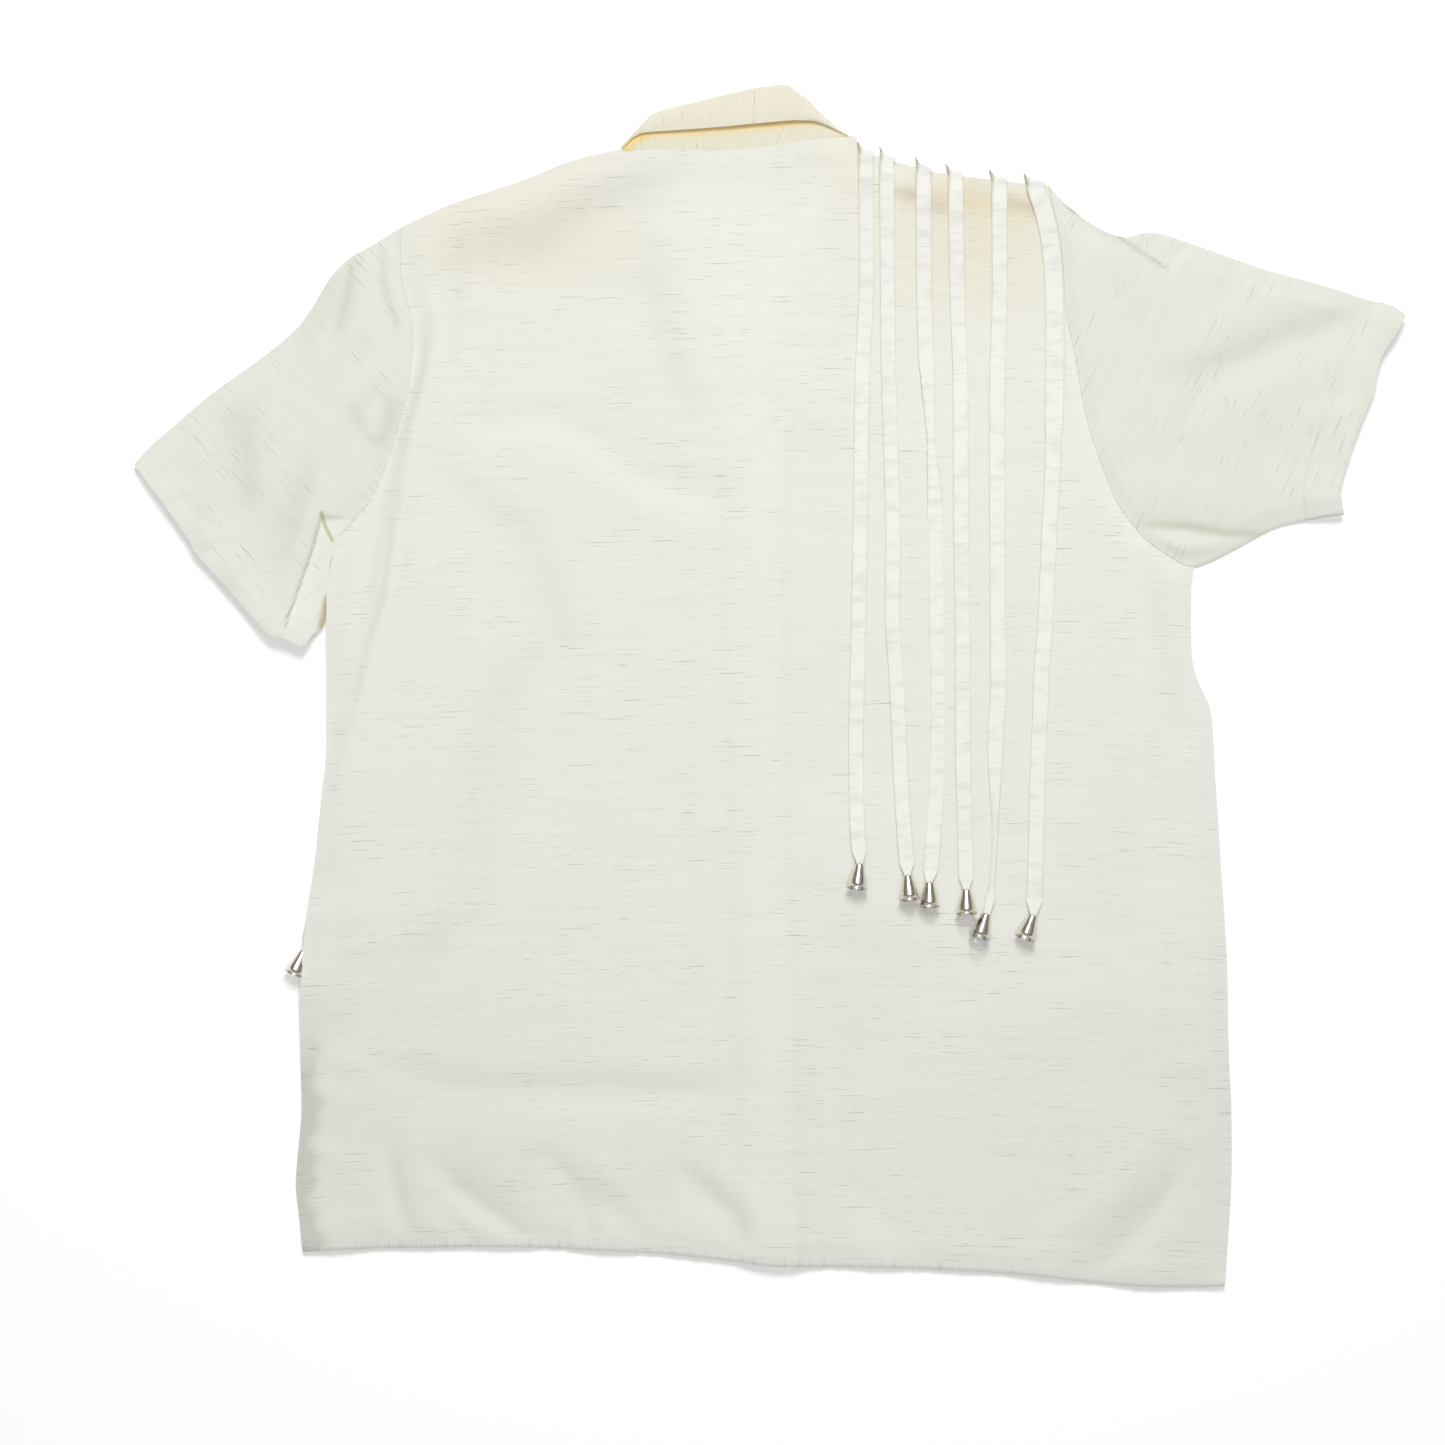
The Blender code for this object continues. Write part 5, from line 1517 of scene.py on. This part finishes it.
def strap_sections(name, path):
    """Width, fold, roll and gather at each point of a strap's path."""
    y = path[:, 1]
    left = run_of(path)[-1] - run_of(path)
    widths = STRAP_END_WIDTH + (STRAP_WIDTHS[name] - STRAP_END_WIDTH) * ease((left - 4.5) / 6.5)
    gathers = (1 - ease((left - 3) / 9)) * 0.35
    rolls = np.zeros(len(path))
    folds = np.zeros(len(path))
    if name in STRAP_ROLL:
        start, end, most = STRAP_ROLL[name]
        rolls = most * ease((start - y) / (start - end)) * ease((left - 2) / 22)
        rolls[:20] = 0
    if name in STRAP_NARROW:
        start, end, most = STRAP_NARROW[name]
        widths = widths * (1 - most * ease((start - y) / (start - end)) * ease((left - 6) / 16))
    if name in STRAP_FOLD_OVER:
        start, end = STRAP_FOLD_OVER[name]
        folds = np.clip((start - y) / (start - end), 0, 1)
        folds[:20] = 0
    return np.stack([widths, folds, rolls, gathers], axis=1)


# %% Make the six straps
for name in STRAP_ROUTES:
    path, slants = strap_path(name)
    make_strap(name, path, slants, strap_sections(name, path))

# %% [markdown]
# One more strap lies hidden under the left front. Only its bell shows, past the side seam.

# %% Hidden strap
route = smooth_line(UNDER_STRAP)
spots = cut_line(route, np.linspace(0, 1, int(run_of(route)[-1] / STRAP_STEP)))
start, axis = bell_frame("7")
path = [np.array([*spot, STRAP_CLOTH + 0.1]) for spot in spots]
path += [start + axis * past + np.array([0, 0, up]) for past, up in ((-9, -0.9), (-2, 0.3), (2.5, 0.0))]
path = np.array(path)
sections = strap_sections("7", path)
sections[:, -1] = 0
make_strap("7", path, [0.0] * len(path), sections)

# %% [markdown]
# ## Bells
#
# A small cone bell is spun from sheet metal: narrow at its neck, nearly straight, with a lip
# that flares at its mouth. A circle is extruded and scaled ring by ring, as it would be spun
# over a form, and given a wall. It is then laid on its side, as the real one lies.

# %% Silver
SILVER = (0.97, 0.96, 0.94, 1)
WORN_SILVER = (0.86, 0.83, 0.78, 1)
# A painted reflection: the darker, browner colour of the bells' flanks, where the dim horizon and the shaded
# cloth would show in the metal.
DARK_FLANK_REFLECTION = (0.78, 0.70, 0.58, 1)

silver, tree, shader = new_material("silver bell metal")
own_place = add_node(tree, "ShaderNodeTexCoord").outputs["Object"]
dents = noise(tree, own_place, 420.0, 2.0, "3D")
tarnish = noise(tree, own_place, 160.0, 3.0, "3D")
# The flank mark lays the painted reflection on the bells' sides.
flank = add_node(tree, "ShaderNodeAttribute", attribute_name="flank").outputs["Fac"]
bump = add_node(tree, "ShaderNodeBump", {"Height": dents, "Strength": 0.12, "Distance": 0.0003})
feed(tree, shader, {
    "Base Color": mix(tree, flank, mix(tree, tarnish, SILVER, WORN_SILVER), DARK_FLANK_REFLECTION),
    "Roughness": ramp(tree, tarnish, 0.0, 1.0, 0.12, 0.30), "Normal": bump.outputs[0], "Metallic": 1.0,
})
print("metal:", silver.name)

# %% Turn one bell
BELL_PROFILE = [
    (0.0, 2.8), (0.4, 3.0), (1.4, 3.05), (6.0, 4.2), (11.0, 5.35), (14.0, 5.85), (15.4, 6.25), (16.3, 7.0),
    (16.6, 7.2),
]
BELL_SIDES = 48
BELL_WALL = 0.45


def modify(piece, kind, **settings):
    """Adds a modifier to the active piece and applies it."""
    modifier = piece.modifiers.new(kind.lower(), kind)
    for name, value in settings.items():
        setattr(modifier, name, value)
    bpy.ops.object.modifier_apply(modifier=modifier.name)


def edit_all():
    """Goes into edit mode with the whole mesh chosen."""
    bpy.ops.object.mode_set(mode="EDIT")
    bpy.ops.mesh.select_all(action="SELECT")


def draw_rings(rings):
    """Extrudes the open circle along its axis, ring by ring: each has its place and its size."""
    for (behind, near_size), (ahead, far_size) in zip(rings, rings[1:]):
        growth = far_size / near_size
        bpy.ops.mesh.extrude_region_move(TRANSFORM_OT_translate={"value": (0, 0, (ahead - behind) * MM)})
        bpy.ops.transform.resize(value=(growth, growth, 1), center_override=(0, 0, ahead * MM))
    bpy.ops.mesh.select_all(action="SELECT")
    bpy.ops.mesh.normals_make_consistent(inside=False)
    bpy.ops.object.mode_set(mode="OBJECT")


bpy.ops.mesh.primitive_circle_add(vertices=BELL_SIDES, radius=BELL_PROFILE[0][1] * MM, location=(0, 0, 0))
bell_model = bpy.context.active_object
edit_all()
draw_rings(BELL_PROFILE)
modify(bell_model, "SOLIDIFY", thickness=BELL_WALL * MM, offset=-1.0)
modify(bell_model, "BEVEL", width=0.12 * MM, segments=2, limit_method="ANGLE")
bpy.ops.object.shade_smooth_by_angle(angle=math.radians(35))
bell_model.data.materials.append(silver)
bpy.ops.object.select_all(action="DESELECT")
print("bell faces:", len(bell_model.data.polygons))

# %% [markdown]
# Each bell is a copy with a mesh of its own, laid along its axis. Its flanks are marked, where
# a darker, browner painted reflection lies on the silver.

# %% Lay the bells


def lay_along(model, label, name, distance, roll_degrees):
    """A copy of a model, laid on a bell's axis, this far from the bell's top end."""
    start, axis = bell_frame(name)
    z_way = Vector(axis)
    level = Vector((-axis[1], axis[0], 0.0)).normalized()
    turn = Matrix((level, z_way.cross(level), z_way)).transposed().to_4x4()
    place = Matrix.Translation((Vector(start) + z_way * distance) * MM)
    copy = bpy.data.objects.new(label + name, model.data.copy())
    copy.data.transform(place @ turn @ Matrix.Rotation(math.radians(roll_degrees), 4, "Z"))
    scene.collection.objects.link(copy)
    return copy


def paint_flank_reflections(bell):
    """Marks the sides of a lying bell, where a darker, browner painted reflection lies on the metal."""
    mesh = bell.data
    normals = np.empty(len(mesh.vertices) * 3)
    mesh.vertices.foreach_get("normal", normals)
    upward = normals.reshape(-1, 3)[:, 2]
    dark = ease((0.94 - upward) / 0.16) * (0.35 + 0.65 * ease((upward - 0.3) / 0.4))
    marks = mesh.color_attributes.new("flank", "FLOAT_COLOR", "POINT")
    marks.data.foreach_set("color", np.stack([dark, dark, dark, np.ones(len(dark))], axis=1).ravel())


for name in BELLS:
    middle = np.mean(np.array(BELLS[name]), axis=0)
    print("bell", name, "clears the cloth by", round(bell_rest(name) - float(back_top(*middle)), 2))
    bell = lay_along(bell_model, "silver_bell_", name, 0.0, 0.0)
    paint_flank_reflections(bell)
    place_piece(bell, "bell", "bell_" + name)
bpy.data.objects.remove(bell_model)

# %% [markdown]
# ## Drops
#
# A clear drop hangs in each bell from a thread. It starts as a small flat ring of ten sides at
# its point, is flattened and drawn out ring by ring, so that its broad facets catch the light at
# their edges.

# %% Clear drop material
clear, tree, shader = new_material("clear drop")
own_place = add_node(tree, "ShaderNodeTexCoord").outputs["Object"]
feed(tree, shader, {
    "Base Color": (0.97, 0.97, 0.97, 1), "Transmission Weight": 0.72, "IOR": 1.33, "Alpha": 0.34,
    "Roughness": ramp(tree, noise(tree, own_place, 240.0, 2.0, "3D"), 0.0, 1.0, 0.02, 0.10),
})
print("drop material:", clear.name)

# %% Cut the drops
# Each row is a drop's width, how far it stands out of its bell, and its turn about its axis.
DROPS = {
    "1": (8.5, 2.0, 20), "2": (8.4, 5.5, 60), "3": (9.2, 5.5, 40), "4": (12.9, 9.0, 0),
    "5": (12.6, 9.5, 0), "6": (8.5, 2.2, 30), "7": (8.5, 1.5, 0),
}
DROP_LENGTH = 12.5
DROP_THICKNESS = 5.4
DROP_RINGS = [(0.0, 0.10), (0.14, 0.24), (0.30, 0.50), (0.50, 0.88), (0.68, 1.0), (0.86, 0.84), (1.0, 0.42)]
DROP_SIDES = 10
THREAD_RADIUS = 0.5
THREAD_SIDES = 8
STRAP_IN_BELL = 3.3


def cut_drop(width):
    """One drop, with its point down at the origin and its neck above, as a mesh object."""
    thick = min(DROP_THICKNESS, width * 0.7)
    bpy.ops.mesh.primitive_circle_add(
        vertices=DROP_SIDES, radius=0.5 * DROP_RINGS[0][1] * MM, fill_type="NGON", location=(0, 0, 0)
    )
    model = bpy.context.active_object
    edit_all()
    bpy.ops.transform.resize(value=(width, thick, 1), center_override=(0, 0, 0))
    draw_rings([(share * DROP_LENGTH, size) for share, size in DROP_RINGS])
    modify(model, "BEVEL", width=0.16 * MM, segments=1)
    model.data.materials.append(clear)
    bpy.ops.object.select_all(action="DESELECT")
    return model


def cut_thread(length):
    """The thread that a drop hangs from, as a mesh object."""
    bpy.ops.mesh.primitive_cylinder_add(vertices=THREAD_SIDES, radius=THREAD_RADIUS * MM, depth=length * MM)
    model = bpy.context.active_object
    edit_all()
    bpy.ops.mesh.bevel(offset=0.15 * MM, segments=1)
    bpy.ops.object.mode_set(mode="OBJECT")
    model.data.materials.append(strap_cloth)
    bpy.ops.object.select_all(action="DESELECT")
    return model


for name, (width, proud, roll) in DROPS.items():
    neck = BELL_LENGTH + proud - DROP_LENGTH
    drop_model = cut_drop(width)
    place_piece(lay_along(drop_model, "clear_drop_", name, neck, roll), "drop", "drop_" + name)
    thread_model = cut_thread(neck - STRAP_IN_BELL + 1.4)
    place_piece(lay_along(thread_model, "drop_thread_", name, (neck + STRAP_IN_BELL) / 2, 0), "strap")
    bpy.data.objects.remove(drop_model)
    bpy.data.objects.remove(thread_model)
print("drops:", len(DROPS))

# %% [markdown]
# ## Hidden pieces
#
# The collar's front leaves and the buttons lie under the fronts. They are plain, because
# nothing of them shows, but they are whole, so that the shirt is complete from below.

# %% Collar leaves
LEAF_HEIGHT = 0.95
LEAF_CLOTH = 0.85
LEAVES = {
    "leaf_left": (
        [(-98, 366), (-78, 305), (-54, 262), (-28, 232)], [(-128, 364), (-122, 310), (-108, 262), (-84, 218)],
    ),
    "leaf_right": (
        [(57, 366), (38, 320), (18, 276), (4, 240)], [(88, 361), (84, 310), (78, 262), (60, 218)],
    ),
}
for node, (near, far) in LEAVES.items():
    parts = np.linspace(0, 1, 13)[None, :, None]
    plan = even_cut(near, 30)[:, None] * (1 - parts) + even_cut(far, 30)[:, None] * parts
    net = np.concatenate([plan, np.full((*plan.shape[:2], 1), LEAF_HEIGHT)], axis=-1)
    if node == "leaf_left":
        net = net[:, ::-1]
    grain = grain_map(net[..., 0], net[..., 1], 90)
    leaf = shell(node + "_cloth", net, grain, np.ones(net.shape), LEAF_CLOTH, shirt_cloth)
    place_piece(leaf, "cloth", node)

# %% Buttons
PEARL = (0.86, 0.85, 0.80, 1)
PEARL_SHADE = (0.70, 0.70, 0.68, 1)
BUTTON_SIDES = 40
BUTTON_RIM = 1.3
BUTTON_DISH = 0.5

pearl, tree, shader = new_material("pearl button")
own_place = add_node(tree, "ShaderNodeTexCoord").outputs["Object"]
cloud = noise(tree, own_place, 130.0, 3.0, "3D")
feed(tree, shader, {"Base Color": mix(tree, cloud, PEARL, PEARL_SHADE), "Roughness": 0.25})

for number in range(1, 6):
    low, high = (Vector(corner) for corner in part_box(f"button_{number}"))
    bpy.ops.mesh.primitive_cylinder_add(
        vertices=BUTTON_SIDES, radius=(high.x - low.x) / 2, depth=high.z - low.z, location=(low + high) / 2
    )
    button = bpy.context.active_object
    button.name = f"pearl_button_{number}"
    bpy.ops.object.transform_apply(location=True, rotation=True, scale=True)
    bpy.ops.object.mode_set(mode="EDIT")
    for face in bmesh.from_edit_mesh(button.data).faces:
        face.select_set(face.normal.z < -0.9)
    bmesh.update_edit_mesh(button.data)
    bpy.ops.mesh.inset(thickness=BUTTON_RIM * MM)
    bpy.ops.transform.translate(value=(0, 0, BUTTON_DISH * MM))
    bpy.ops.object.mode_set(mode="OBJECT")
    modify(button, "BEVEL", width=0.25 * MM, segments=2, limit_method="ANGLE")
    bpy.ops.object.shade_smooth_by_angle(angle=math.radians(35))
    button.data.materials.append(pearl)
    place_piece(button, "button", f"button_{number}")
    bpy.ops.object.select_all(action="DESELECT")
print("buttons:", number)
